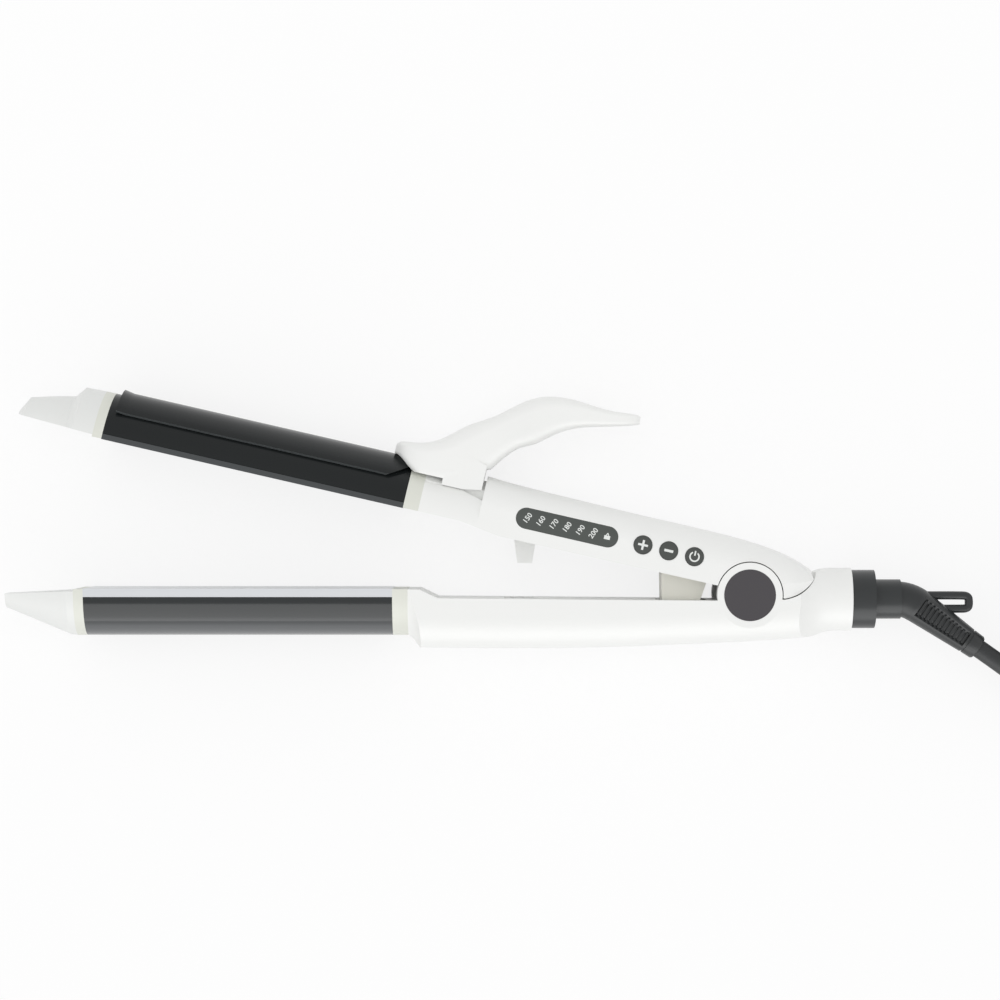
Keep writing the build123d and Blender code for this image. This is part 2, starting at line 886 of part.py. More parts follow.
def across_disc(frame, start, length, radius, bore):
    """A disc about a frame's x axis from start, with a bore unless it is zero."""
    with BuildPart() as disc:
        with BuildSketch(across(frame, start)):
            Circle(radius)
            if bore:
                Circle(bore, mode=Mode.SUBTRACT)
        extrude(amount=length)
    return disc


def ear_notch(side):
    """Room beside the nose for the thumb lever's ears over their whole travel."""
    low = pivot_height - ear_low - notch_room
    drop = (pivot_back - nose_end) * tan(radians(lever_travel))
    front = -pivot_back - ear_front_reach - ear_swing
    with BuildPart() as notch:
        with BuildSketch(upper.frame.offset(side * (ear_inner - notch_room))):
            with BuildLine():
                Polyline(
                    (front, low),
                    (-pivot_back, low),
                    (-nose_end, low - drop),
                    (-nose_end, 2 * upper_depth),
                    (front, 2 * upper_depth),
                    close=True,
                )
            make_face()
        extrude(amount=side * half_width)
    return notch


def pill(frame, radius, low, high, side):
    """A lozenge for the display window, between two distances off the middle plane."""
    middle = (-(window_front + window_rear) / 2, control_line)
    with BuildPart() as lozenge:
        with BuildSketch(frame.offset(side * low)):
            with Locations(middle):
                SlotCenterToCenter(window_front - window_rear, 2 * radius)
        extrude(amount=side * (high - low))
    return lozenge


button_places = [(-button_front + index * button_pitch, control_line) for index in range(3)]
flange_top = flank_inner - part_clearance
stem_low = flange_low - part_clearance - stem_length


def control_openings(side):
    window_flange_radius = window_radius + window_flange + flange_room
    button_flange_radius = button_radius + button_flange + flange_room
    pilot_radius = board_screw_radius + pilot_clearance
    return [
        pill(upper.frame, window_radius + part_clearance, board_level, outside, side),
        pill(upper.frame, window_flange_radius, board_top, flank_inner, side),
        column(upper.frame, button_places, button_radius + button_gap, board_level, outside, side),
        column(upper.frame, button_places, button_flange_radius, board_top, flank_inner, side),
        column(upper.frame, board_screw_places, pilot_radius, board_level, flank_inner, side),
    ]


upper_near_form = upper_body(upper.near, 0)
write(lower_half(-1), "lower_near_shell")
write(lower_half(1), "lower_far_shell")
write(upper_half(1), "upper_near_shell")
write(upper_half(-1), "upper_far_shell")


def handle_screws(arm, places):
    """Pan-head screws with a driver slot, put in from the far flank."""
    far = -arm.near
    head = column(arm.frame, places, screw_head_radius, screw_seat, screw_seat + screw_head_height, far)
    shank = column(arm.frame, places, screw_radius, -screw_reach, screw_seat, far)
    slot_low = screw_seat + screw_head_height - driver_slot_depth
    with BuildPart() as slots:
        with BuildSketch(arm.frame.offset(far * slot_low)):
            with Locations(*places):
                Rectangle(2 * screw_head_radius, driver_slot_width)
        extrude(amount=far * screw_head_height)
    return joined(head, [shank], [slots])


write(handle_screws(lower, lower_screw_places), "lower_handle_screws")
write(handle_screws(upper, upper_screw_places), "upper_handle_screws")


# Hinge pin, its ring, the dark discs over it and the spring around it
def hinge_pin():
    seat = flank_inner - pin_head_height
    neck_end = seat + clip_ring_thickness + clip_groove_room
    shank = column(lower.frame, [(0, 0)], hinge_pin_radius, -seat, seat, 1)
    head = column(lower.frame, [(0, 0)], pin_head_radius, seat, flank_inner, lower.near)
    neck = column(lower.frame, [(0, 0)], clip_ring_inner, seat, neck_end, -lower.near)
    end = column(lower.frame, [(0, 0)], hinge_pin_radius, neck_end, neck_end + pin_end_length, -lower.near)
    return joined(shank, [head, neck, end], [])


def pin_ring():
    seat = flank_inner - pin_head_height
    with BuildPart() as ring:
        with BuildSketch(lower.frame.offset(-lower.near * (seat + clip_groove_room / 2))):
            Circle(clip_ring_outer)
            Circle(clip_ring_inner + part_clearance, mode=Mode.SUBTRACT)
            with Locations((clip_ring_outer / 2 + clip_ring_inner / 2, 0)):
                Rectangle(clip_ring_outer, clip_ring_slot, mode=Mode.SUBTRACT)
        extrude(amount=-lower.near * clip_ring_thickness)
    return ring


def coil_spring(frame, radius, wire, pitch, turns, leg):
    """A wound torsion spring about a frame's z axis, with a straight leg at each end."""
    height = pitch * turns
    with BuildPart() as spring:
        with BuildLine(frame.offset(-height / 2)) as path:
            Helix(pitch=pitch, height=height, radius=radius)
        with BuildSketch(Plane(origin=path.line @ 0, z_dir=path.line % 0)):
            Circle(wire)
        sweep(path=path.line, is_frenet=True)
        with BuildSketch(Plane(origin=path.line @ 0, z_dir=-(path.line % 0))):
            Circle(wire)
        with BuildSketch(Plane(origin=path.line @ 1, z_dir=path.line % 1)):
            Circle(wire)
        extrude(amount=leg)
    return spring


for name, side in (("near", lower.near), ("far", -lower.near)):
    write(column(lower.frame, [(0, 0)], disc_radius, disc_seat, half_width, side), f"hinge_disc_{name}")
write(hinge_pin(), "hinge_pin")
write(pin_ring(), "hinge_pin_ring")
write(
    coil_spring(
        upper_frame.rotated((0, 0, -90)),
        hinge_spring_radius,
        hinge_spring_wire,
        hinge_spring_pitch,
        hinge_spring_turns,
        hinge_spring_leg,
    ),
    "hinge_spring",
)


# Wire shroud and closing peg, hung from the upper arm
collar_low = upper_face_rear + handle_wall + collar_seat


def wall_collar(x_span, half):
    """The rim that holds a piece on the inside of the upper handle's inner wall."""
    span = (x_span[0] - collar_rim, x_span[1] + collar_rim)
    with BuildPart() as rim:
        with BuildSketch(upper.frame):
            with Locations((span[0], collar_low)):
                Rectangle(span[1] - span[0], collar_depth, align=(Align.MIN, Align.MIN))
        extrude(amount=half, both=True)
    return rim


def hung_block(points, half):
    with BuildPart() as block:
        with BuildSketch(upper.frame):
            with BuildLine():
                Polyline(*points, close=True)
            make_face()
        extrude(amount=half, both=True)
    return block


def wire_shroud():
    top = collar_low + collar_depth
    outer = [
        (-shroud_front, top),
        (-shroud_front, 0),
        (-shroud_front + shroud_front_taper, -shroud_depth),
        (-shroud_rear - shroud_rear_taper, -shroud_rear_depth),
        (-shroud_rear, 0),
        (-shroud_rear, top),
    ]
    inner = [
        (-shroud_front + shroud_wall, top + overrun),
        (-shroud_front + shroud_wall, 0),
        (-shroud_front + shroud_front_taper + shroud_wall, -shroud_depth - overrun),
        (-shroud_rear - shroud_rear_taper - shroud_wall, -shroud_depth - overrun),
        (-shroud_rear - shroud_wall, 0),
        (-shroud_rear - shroud_wall, top + overrun),
    ]
    rim = wall_collar((-shroud_front, -shroud_rear), shroud_half_width)
    hollow = hung_block(inner, shroud_half_width - shroud_wall)
    return joined(hung_block(outer, shroud_half_width), [rim], [hollow])


def closing_peg():
    points = [
        (-peg_front, collar_low + collar_depth),
        (-peg_front, 0),
        (-peg_front + peg_lean, -peg_depth),
        (-peg_front + peg_lean + peg_tip_width, -peg_depth + peg_tip_slope),
        (-peg_front + peg_width, 0),
        (-peg_front + peg_width, collar_low + collar_depth),
    ]
    rim = wall_collar((-peg_front, -peg_front + peg_width), peg_half_width)
    return joined(hung_block(points, peg_half_width), [rim], [])


write(wire_shroud(), "wire_shroud")
write(closing_peg(), "closing_peg")


# Display, control board and buttons
def display_window():
    lens = inside(upper_near_form, [pill(upper.frame, window_radius, flange_low, outside, upper.near)])
    rim = pill(upper.frame, window_radius + window_flange, flange_low, flange_top, upper.near)
    return joined(lens, [rim], [])


def button(place, proud_form):
    cap = inside(proud_form, [column(upper.frame, [place], button_radius, flange_low, outside, upper.near)])
    rim_radius = button_radius + button_flange
    rim = column(upper.frame, [place], rim_radius, flange_low - part_clearance, flange_top, upper.near)
    stem = column(upper.frame, [place], stem_radius, stem_low, flange_low, upper.near)
    return joined(cap, [rim, stem], [])


def control_board():
    board = across_box(
        upper.frame,
        (-board_front, -board_rear),
        (board_low, board_high),
        (board_level, board_top),
        upper.near,
    )
    holes = column(
        upper.frame,
        board_screw_places,
        board_screw_radius + board_hole_clearance,
        board_level - overrun,
        board_top + overrun,
        upper.near,
    )
    return joined(board, [], [holes])


def board_screws():
    places = board_screw_places
    head_low = board_level - board_screw_head_height
    shank = column(upper.frame, places, board_screw_radius, board_level, board_screw_end, upper.near)
    head = column(upper.frame, places, board_screw_head, head_low, board_level, upper.near)
    return joined(head, [shank], [])


def led_module():
    return across_box(
        upper.frame,
        (-window_front - lamp_inset, -window_rear + lamp_inset),
        (control_line - lamp_block_half_height, control_line + lamp_block_half_height),
        (board_top, board_top + lamp_block_height),
        upper.near,
    )


def button_switches():
    with BuildPart() as switches:
        with BuildSketch(upper.frame.offset(upper.near * board_top)):
            with Locations(*button_places):
                Rectangle(switch_size, switch_size)
        extrude(amount=upper.near * (stem_low - button_travel - switch_gap - board_top))
    return switches


def board_parts():
    with BuildPart() as parts:
        with BuildSketch(upper.frame.offset(upper.near * board_level)):
            with Locations(chip_place):
                Rectangle(chip_length, chip_width)
        extrude(amount=-upper.near * chip_height)
        lying = moved(upper.frame, 0, capacitor_place[1], upper.near * (board_level - capacitor_radius))
        with BuildSketch(across(lying, capacitor_place[0])):
            Circle(capacitor_radius)
        extrude(amount=capacitor_length)
    return parts


with BuildPart() as proud_form:
    with Locations((0, 0, button_proud)):
        add(upper_near_form.part)

write(display_window(), "display_window")
write(control_board(), "control_board")
write(board_screws(), "board_screws")
write(led_module(), "led_module")
write(button_switches(), "button_switches")
write(board_parts(), "board_parts")
for name, place in zip(["plus", "minus", "power"], button_places):
    write(button(place, proud_form), f"{name}_button")


# Curling clip: blade, thumb lever, pin, rivets and spring
def clip_blade():
    inner = barrel_radius + blade_gap
    outer = inner + blade_thickness
    flare = -blade_front + blade_flare_length
    neck = -blade_neck - blade_neck_length
    turning = Axis(upper.barrel.origin, upper.barrel.x_dir)
    facing = upper.barrel.z_dir.rotate(Axis((0, 0, 0), upper.barrel.x_dir), -blade_half_angle)
    start = Plane(origin=upper.barrel.origin, x_dir=upper.barrel.x_dir, z_dir=facing)
    with BuildPart() as blade:
        with BuildSketch(start):
            with BuildLine():
                Polyline(
                    (-blade_front, inner + blade_flare_rise),
                    (flare, inner),
                    (-blade_rear, inner),
                    (-blade_rear, outer),
                    (flare, outer),
                    (-blade_front, outer + blade_flare_rise),
                    close=True,
                )
            make_face()
        revolve(axis=turning, revolution_arc=2 * blade_half_angle)
        with BuildSketch(upper.barrel):
            with BuildLine():
                Polyline(
                    (neck, 0),
                    (neck, inner * cos(radians(blade_half_angle))),
                    (-blade_neck, blade_neck_height),
                    (0, blade_neck_height),
                    (0, 0),
                    close=True,
                )
            make_face()
        extrude(amount=2 * barrel_radius, both=True, mode=Mode.SUBTRACT)
        with BuildSketch(plan(upper.frame)):
            with Locations(*[(-place, 0) for place in rivet_places]):
                Circle(rivet_radius + part_clearance)
        extrude(amount=2 * barrel_radius, mode=Mode.SUBTRACT)
    return blade


def lever_section(share):
    """The plane and half sizes of one section of the thumb lever."""
    along, up, angle, thick, wide = share
    origin = upper.frame.from_local_coords(
        Vector(-pivot_back + along * lever_length, pivot_height + up * lever_rise, 0)
    )
    way = upper.frame.x_dir.rotate(Axis(origin, upper.frame.z_dir), angle)
    section = Plane(origin=origin, x_dir=upper.frame.z_dir, z_dir=way)
    return section, wide * lever_half_width, thick * lever_depth


def lever_form():
    with BuildPart() as form:
        for share in lever_shares:
            section, wide, thick = lever_section(share)
            with BuildSketch(section):
                RectangleRounded(2 * wide, 2 * thick, lever_corner_share * thick)
        loft()
    return form


def lever_saddle():
    """The round space over the blade and nose, and the wedge that lets the lever swing."""
    reach = 2 * pivot_back
    with BuildPart() as saddle:
        with BuildSketch(across(upper.barrel, -reach)):
            Circle(barrel_radius + blade_gap + blade_thickness + saddle_clearance)
        extrude(amount=reach - pivot_back + underside_shares[0][0] * underside_scale)
    return saddle


def lever_underside():
    points = [
        (-pivot_back + along * underside_scale, pivot_height + up * underside_scale)
        for along, up in underside_shares
    ]
    with BuildPart() as wedge:
        with BuildSketch(upper.frame):
            with BuildLine():
                Polyline(*points, (points[-1][0], 0), (points[0][0], 0), close=True)
            make_face()
        extrude(amount=2 * half_width, both=True)
    return wedge


def lever_skirt():
    """What is trimmed off below the saddle's edge in front of the ears."""
    front = -pivot_back - ear_front_reach
    with BuildPart() as skirt:
        with BuildSketch(upper.frame):
            with Locations((front, saddle_edge)):
                Rectangle(lever_length, saddle_edge, align=(Align.MAX, Align.MAX))
        extrude(amount=2 * half_width, both=True)
    return skirt


def lever_ears():
    with BuildPart() as ears:
        for side in (1, -1):
            with BuildSketch(upper.frame.offset(side * ear_inner)):
                with BuildLine():
                    Polyline(
                        (-pivot_back - ear_front_reach, ear_top),
                        (-pivot_back - ear_front_reach, pivot_height - ear_low),
                        (-pivot_back, pivot_height - ear_low),
                        (-pivot_back + ear_swing, pivot_height - ear_low + ear_rise),
                        (-pivot_back + ear_swing, ear_brow),
                        (-pivot_back, ear_top),
                        close=True,
                    )
                make_face()
            extrude(amount=side * (ear_outer - ear_inner))
    return ears


def thumb_lever():
    with BuildPart() as bores:
        with BuildSketch(plan(upper.frame)):
            with Locations(*[(-place, 0) for place in rivet_places]):
                Circle(rivet_radius + part_clearance)
        extrude(amount=rivet_top)
    room = cheek_radius + cheek_clearance
    cheek_room = column(pivot_frame, [(0, 0)], room, -ear_inner, ear_inner, 1)
    body = joined(lever_form(), [], [lever_saddle(), lever_underside(), lever_skirt(), bores, cheek_room])
    pin_end = clip_pin_reach + part_clearance
    pin_bore = column(pivot_frame, [(0, 0)], clip_pin_radius + pilot_clearance, -pin_end, pin_end, 1)
    return joined(body, [lever_ears()], [pin_bore])


rivet_low = plate_line + barrel_radius + blade_gap
rivet_top = rivet_low + rivet_height


def clip_rivets():
    with BuildPart() as rivets:
        with BuildSketch(plan(upper.frame, rivet_low + part_clearance)):
            with Locations(*[(-place, 0) for place in rivet_places]):
                Circle(rivet_radius)
        extrude(amount=rivet_height - 2 * part_clearance)
    return rivets


pivot_frame = moved(upper.frame, -pivot_back, pivot_height)
write(clip_blade(), "clip_blade")
write(thumb_lever(), "thumb_lever")
write(clip_rivets(), "clip_rivets")
write(column(pivot_frame, [(0, 0)], clip_pin_radius, -clip_pin_reach, clip_pin_reach, 1), "clip_pin")
write(
    coil_spring(
        pivot_frame,
        clip_spring_radius,
        clip_spring_wire,
        clip_spring_pitch,
        clip_spring_turns,
        clip_spring_leg,
    ),
    "clip_spring",
)


# Cord swivel, strain relief and hang loop
swivel_axis = moved(lower.frame, 0, rear_axis)
collar_start = rear_length + swivel_face_gap
neck_start = collar_start + swivel_collar_length
relief_start = neck_start + swivel_neck_length
relief_corner = relief_start + relief_start_length
flange_end = rear_length - handle_wall - swivel_face_gap
cord_heading = Vector(cos(radians(relief_angle)), -sin(radians(relief_angle)), 0)
cord_bend = Vector(relief_corner, -rear_axis, half_width)
cord_exit = cord_bend + cord_heading * (relief_length + relief_cap_length)


def swivel_stem():
    """The stem, flange, shaft, collar and neck that turn with the cord."""
    core = across_disc(swivel_axis, swivel_inner_end, flange_end - swivel_inner_end, stem_core_radius, 0)
    flange_start = flange_end - swivel_flange_thickness
    flange = across_disc(swivel_axis, flange_start, swivel_flange_thickness, swivel_flange_radius, 0)
    shaft = across_disc(swivel_axis, flange_end, collar_start - flange_end, swivel_shaft_radius, 0)
    grip = across_disc(swivel_axis, collar_start, swivel_collar_length, swivel_collar_radius, 0)
    neck = across_disc(swivel_axis, neck_start, swivel_neck_length, swivel_neck_radius, 0)
    return joined(core, [flange, shaft, grip, neck], [])


def slip_rings():
    bore = stem_core_radius + slip_ring_clearance
    rings = []
    for start in (slip_ring_start, slip_ring_start + slip_ring_pitch):
        rings.append(across_disc(swivel_axis, start, slip_ring_width, slip_ring_radius, bore))
    return pair(rings)


def swivel_brushes():
    """One brush on each slip ring, held against the handle's crown."""
    low = rear_axis + slip_ring_radius + brush_gap
    with BuildPart() as brushes:
        for index, side in enumerate((1, -1)):
            start = slip_ring_start + index * slip_ring_pitch + brush_gap
            middle = side * lead_spacing / 2 - brush_width / 2
            with BuildSketch(lower.frame.offset(middle)):
                with Locations((start, low)):
                    Rectangle(brush_length, brush_top - low, align=(Align.MIN, Align.MIN))
            extrude(amount=brush_width)
    return brushes


def strain_relief():
    """The ribbed bend and the hang loop moulded with it."""
    step = (relief_start_radius - relief_end_radius) / relief_length
    down = Plane(origin=cord_bend, x_dir=(0, 0, 1), z_dir=cord_heading)
    with BuildPart() as relief:
        with BuildSketch(across(swivel_axis, relief_start)):
            Circle(relief_ball_radius)
        extrude(amount=relief_start_length)
        with Locations(cord_bend):
            Sphere(relief_ball_radius)
        for index in range(relief_rib_count):
            along = relief_rib_start + index * relief_rib_pitch
            with BuildSketch(down.offset(along)):
                Circle(relief_start_radius - step * along + relief_rib_height)
            extrude(amount=relief_rib_width)
        with BuildSketch(down):
            Circle(relief_start_radius)
        with BuildSketch(down.offset(relief_length)):
            Circle(relief_end_radius)
        loft()
        with BuildSketch(down.offset(relief_length)):
            Circle(relief_cap_radius)
        extrude(amount=relief_cap_length)
        middle_plane = Plane(origin=(0, 0, half_width), x_dir=(1, 0, 0), z_dir=(0, 0, 1))
        with BuildLine(middle_plane) as loop:
            top = Line((loop_start, -loop_top), (loop_reach, -loop_top))
            bend = TangentArc(top @ 1, (loop_reach, -loop_top - 2 * loop_end_radius), tangent=top % 1)
            Line(bend @ 1, (loop_foot, -loop_top - 2 * loop_end_radius))
        with BuildSketch(Plane(origin=loop.line @ 0, z_dir=loop.line % 0)):
            Circle(loop_wire)
        sweep(path=loop.line)
        with BuildSketch(across(swivel_axis, neck_start)):
            Circle(swivel_collar_radius)
        extrude(amount=swivel_neck_length, mode=Mode.SUBTRACT)
    return relief


write(swivel_stem(), "swivel_stem")
write(slip_rings(), "slip_rings")
write(swivel_brushes(), "swivel_brushes")
write(strain_relief(), "strain_relief")


# Leads inside the handles
def wire(frame, points, radius, bend):
    """A round lead through points of a frame, with its corners bent."""
    with BuildPart() as lead:
        with BuildLine() as path:
            FilletPolyline(*[frame.from_local_coords(Vector(*point)) for point in points], radius=bend)
        with BuildSketch(Plane(origin=path.line @ 0, z_dir=path.line % 0)):
            Circle(radius)
        sweep(path=path.line)
    return lead


def channel_level(arm, direction):
    """Height of a lead in a heat spreader's channel, in the arm's own frame."""
    return arm.plate_edge + rail_height + heater_thickness + lead_level + direction * plate_line


def lower_leads():
    level = channel_level(lower, -1)
    wires = []
    for side in (1, -1):
        z = side * lead_spacing / 2
        route = [
            (-lead_start, level, z),
            (-lower_lead_turn, level, z),
            (-lower_lead_down, lower_lead_floor, z),
            (-lower_lead_end, lower_lead_floor, z),
        ]
        wires.append(wire(lower.frame, route, lead_radius, lead_bend))
    return pair(wires)


def mains_leads():
    wires = []
    for index, side in enumerate((1, -1)):
        outer = side * mains_lead_spacing / 2
        inner = side * lead_spacing / 2
        end = slip_ring_start + index * slip_ring_pitch
        route = [
            (-mains_lead_front, mains_lead_level, outer),
            (mains_lead_turn, mains_lead_level, outer),
            (mains_lead_drop, mains_lead_rear_level, inner),
            (end, mains_lead_rear_level, inner),
        ]
        wires.append(wire(lower.frame, route, lead_radius, lead_bend / 2))
    return pair(wires)


def upper_leads():
    level = channel_level(upper, 1)
    wires = []
    for side in (1, -1):
        z = side * lead_spacing / 2
        route = [
            (-lead_start, level, z),
            (-upper_lead_turn, level, z),
            (-upper_lead_down, upper_lead_level, z),
            (-upper_lead_rise, upper_lead_level, z),
            (-upper_lead_end, upper_lead_level + side * upper_lead_spread, upper_lead_board),
        ]
        wires.append(wire(upper.frame, route, lead_radius, lead_bend))
    return pair(wires)


def hinge_leads():
    """Loose leads from the lower handle, up through the shroud and into the upper handle."""
    top = turned(hinge_lead_top)
    starts = [(-lower_lead_end, lower_lead_floor, lead_spacing / 2, 1)]
    starts.append((-mains_lead_front, mains_lead_level, mains_lead_spacing / 2, -1))
    wires = []
    for index, (x, y, z, way) in enumerate(starts):
        for side in (1, -1):
            start = lower.frame.from_local_coords(Vector(x, y, side * z))
            spread = -side * hinge_lead_spread * (index + 1) / 2
            end = Vector(top[0] + way * lead_radius, top[1], half_width + spread)
            with BuildPart() as lead:
                with BuildLine() as path:
                    Spline(start, end, tangents=[Vector(way, 0, 0), upper.frame.y_dir])
                with BuildSketch(Plane(origin=path.line @ 0, z_dir=path.line % 0)):
                    Circle(lead_radius)
                sweep(path=path.line)
            wires.append(lead)
    return pair(wires)


write(lower_leads(), "lower_leads")
write(mains_leads(), "mains_leads")
write(upper_leads(), "upper_leads")
write(hinge_leads(), "hinge_leads")


# Cord: the free stretch, the put-away coil, the tail and the plug
def coil_place(turn):
    """Centre of the coiled cord after a number of turns, and its way there."""
    half = coil_turns / 2
    angle = radians(coil_start_angle + 360 * turn)
    inner = coil_outer_radius - coil_step * half
    radius = inner + coil_step * abs(turn - half)
    layer = cord_radius if turn > half else cord_radius + coil_step
    outward = -1 if turn < half else 1
    if turn == half:
        layer = cord_radius + coil_step / 2
        outward = 0
    spot = Vector(coil_centre[0] + radius * cos(angle), coil_centre[1] + radius * sin(angle), layer)
    around = Vector(-sin(angle), cos(angle), 0)
    away = Vector(cos(angle), sin(angle), 0) * (outward * coil_step / (2 * pi * radius))
    drop = Vector(0, 0, -coil_climb_share * coil_step / radius) if turn == half else Vector(0, 0, 0)
    return spot, (around + away + drop).normalized()


def biarc(start, start_way, end, end_way):
    """Two arcs that leave start and reach end in the given ways."""
    across_way = end - start
    both = start_way + end_way
    scale = 2 * (1 - start_way.dot(end_way))
    along = across_way.dot(both)
    reach = (sqrt(along * along + scale * across_way.dot(across_way)) - along) / scale
    joint = (start + start_way * reach + end - end_way * reach) * 0.5
    joint_way = ((end - end_way * reach) - (start + start_way * reach)).normalized()
    TangentArc(start, joint, tangent=start_way)
    TangentArc(joint, end, tangent=joint_way)


coil_nodes = [0.0]
for index in range(coil_node_count + 1):
    coil_nodes.append(coil_turns / 2 + (index - coil_node_count / 2) / coil_nodes_per_turn)
coil_nodes.append(coil_turns)
coil_places = [coil_place(turn) for turn in coil_nodes]
coil_lead_in = coil_places[0][0] - coil_places[0][1] * cord_diameter
coil_lead_out = coil_places[-1][0] + coil_places[-1][1] * cord_diameter


def cord_coil():
    with BuildPart() as coil:
        with BuildLine() as path:
            Line(coil_lead_in, coil_places[0][0])
            for start, end in zip(coil_places, coil_places[1:]):
                biarc(start[0], start[1], end[0], end[1])
            Line(coil_places[-1][0], coil_lead_out)
        with BuildSketch(Plane(origin=coil_lead_in, z_dir=coil_places[0][1])):
            Circle(cord_radius)
        sweep(path=path.line)
    return coil, path.wires()[0]


def bend_radii(points):
    """The largest even bend at each inner point: just under half the shorter run on each side."""
    radii = []
    for before, here, after in zip(points, points[1:], points[2:]):
        first = here - before
        second = after - here
        turn = radians(first.get_angle(second))
        radii.append(bend_share * min(first.length, second.length) / tan(turn / 2))
    return radii


def cord_stretch(points, name):
    with BuildPart() as stretch:
        with BuildLine() as path:
            radii = bend_radii(points)
            FilletPolyline(*points, radius=radii)
        with BuildSketch(Plane(origin=points[0], z_dir=(points[1] - points[0]).normalized())):
            Circle(cord_radius)
        sweep(path=path.line)
    line = path.wires()[0]
    arcs = [edge.radius for edge in line.edges() if edge.geom_type == GeomType.CIRCLE]
    print(name, "arc radii mm", [round(radius, 1) for radius in arcs])
    report_length(name, line, stretch)
    return stretch, line


def report_length(name, line, tube):
    ideal = pi * cord_radius * cord_radius * line.length
    print(name, "length mm", round(line.length, 1))
    print(name, "volume over section x length", round(tube.part.volume / ideal, 4))


def lead_points():
    """From the strain relief down to the coil's top layer."""
    first = cord_exit + cord_heading * lead_end_run
    last = coil_lead_in - coil_places[0][1] * lead_end_run
    run = last - first
    points = [cord_exit, first]
    for along, drop in lead_middle_shares:
        points.append(first + Vector(run.X * along, run.Y * along, run.Z * drop))
    return points + [last, coil_lead_in]


def tail_points_up():
    """From the coil's end up to the plug's strain relief."""
    rise = plug_height / 2 - cord_radius
    points = []
    for index, share in enumerate(tail_rise_shares):
        points.append(coil_lead_out + coil_places[-1][1] * (index * tail_run) + Vector(0, 0, share * rise))
    return points


def least_gap(line):
    """Least clear distance between stretches of a cord that are further apart along it than a bend."""
    steps = int(line.length / coil_check_step)
    spots = [line @ (index / steps) for index in range(steps + 1)]
    skip = int(coil_check_skip / coil_check_step)
    least = coil_outer_radius
    for index, spot in enumerate(spots):
        for other in spots[index + skip:]:
            least = min(least, (other - spot).length - cord_diameter)
    return least


def plug_body(plane):
    with BuildPart() as body:
        with BuildSketch(plane):
            Circle(plug_relief_start_radius)
        with BuildSketch(plane.offset(plug_relief_length)):
            Circle(plug_relief_end_radius)
        loft()
        with BuildSketch(plane.offset(plug_relief_length)):
            RectangleRounded(plug_width, plug_height, plug_corner)
        extrude(amount=plug_length)
        with BuildSketch(plane.offset(plug_relief_length + plug_length - blade_socket)):
            with GridLocations(blade_spacing, 0, 2, 1):
                Rectangle(blade_pin_thickness + 2 * blade_room, blade_width + 2 * blade_room)
        extrude(amount=blade_socket, mode=Mode.SUBTRACT)
    return body


def plug_blades(plane):
    start = plug_relief_length + plug_length - blade_socket + blade_room
    with BuildPart() as blades:
        with BuildSketch(plane.offset(start)):
            with GridLocations(blade_spacing, 0, 2, 1):
                Rectangle(blade_pin_thickness, blade_width)
        extrude(amount=blade_socket + blade_length)
        side_plane = Plane(origin=plane.origin, x_dir=plane.z_dir, z_dir=plane.x_dir)
        with BuildSketch(side_plane):
            with Locations((plug_relief_length + plug_length + blade_hole_place, 0)):
                Circle(blade_hole_radius)
        extrude(amount=blade_spacing, both=True, mode=Mode.SUBTRACT)
    return blades


coil, coil_line = cord_coil()
lead, lead_line = cord_stretch(lead_points(), "cord lead")
tail, tail_line = cord_stretch(tail_points_up(), "cord tail")
plug_plane = Plane(origin=tail_line @ 1, x_dir=(tail_line % 1).cross(Vector(0, 0, 1)), z_dir=tail_line % 1)
write(lead, "cord_lead")
write(coil, "cord_coil")
write(tail, "cord_tail")
write(plug_body(plug_plane), "plug_body")
write(plug_blades(plug_plane), "plug_blades")
report_length("coil", coil_line, coil)
print("coil least gap mm", round(least_gap(coil_line), 2))
print("cord length mm", round(lead_line.length + coil_line.length + tail_line.length, 1))
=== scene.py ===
import math

import bmesh
import bpy
from bpy.props import FloatProperty, FloatVectorProperty, IntProperty, PointerProperty
from mathutils import Matrix, Vector
from mathutils.bvhtree import BVHTree


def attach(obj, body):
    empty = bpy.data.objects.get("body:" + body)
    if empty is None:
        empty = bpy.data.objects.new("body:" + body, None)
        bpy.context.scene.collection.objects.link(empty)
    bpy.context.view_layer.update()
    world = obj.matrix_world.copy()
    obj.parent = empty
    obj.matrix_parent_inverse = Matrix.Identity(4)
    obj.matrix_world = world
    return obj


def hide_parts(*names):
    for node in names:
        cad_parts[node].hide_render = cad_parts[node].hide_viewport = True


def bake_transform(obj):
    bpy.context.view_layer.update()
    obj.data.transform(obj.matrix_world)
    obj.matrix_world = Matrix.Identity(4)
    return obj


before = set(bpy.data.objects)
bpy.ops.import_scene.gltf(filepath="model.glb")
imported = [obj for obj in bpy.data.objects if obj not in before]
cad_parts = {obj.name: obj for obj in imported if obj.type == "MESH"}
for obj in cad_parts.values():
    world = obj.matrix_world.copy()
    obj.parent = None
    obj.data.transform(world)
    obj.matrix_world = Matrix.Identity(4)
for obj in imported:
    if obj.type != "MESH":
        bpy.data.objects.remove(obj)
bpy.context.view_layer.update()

bl_info = {
    "name": "Two-in-one hair styler",
    "version": (1, 0, 0),
    "blender": (4, 5, 0),
    "location": "View3D > Sidebar > Styler",
    "description": "Finishes, markings, cord and stage of a hinged hair styler with a curling clip",
    "category": "Object",
}

MM = 0.001
OPEN_ANGLE = math.radians(12.9)
MIDDLE = 0.0165
UPPER_ARM = Matrix.Translation((0, 0, MIDDLE)) @ Matrix.Rotation(-OPEN_ANGLE, 4, "Z")
NEAR_FLANK = Matrix.Translation((0, 0, -MIDDLE)) @ UPPER_ARM
WELD_DISTANCE = 0.001 * MM

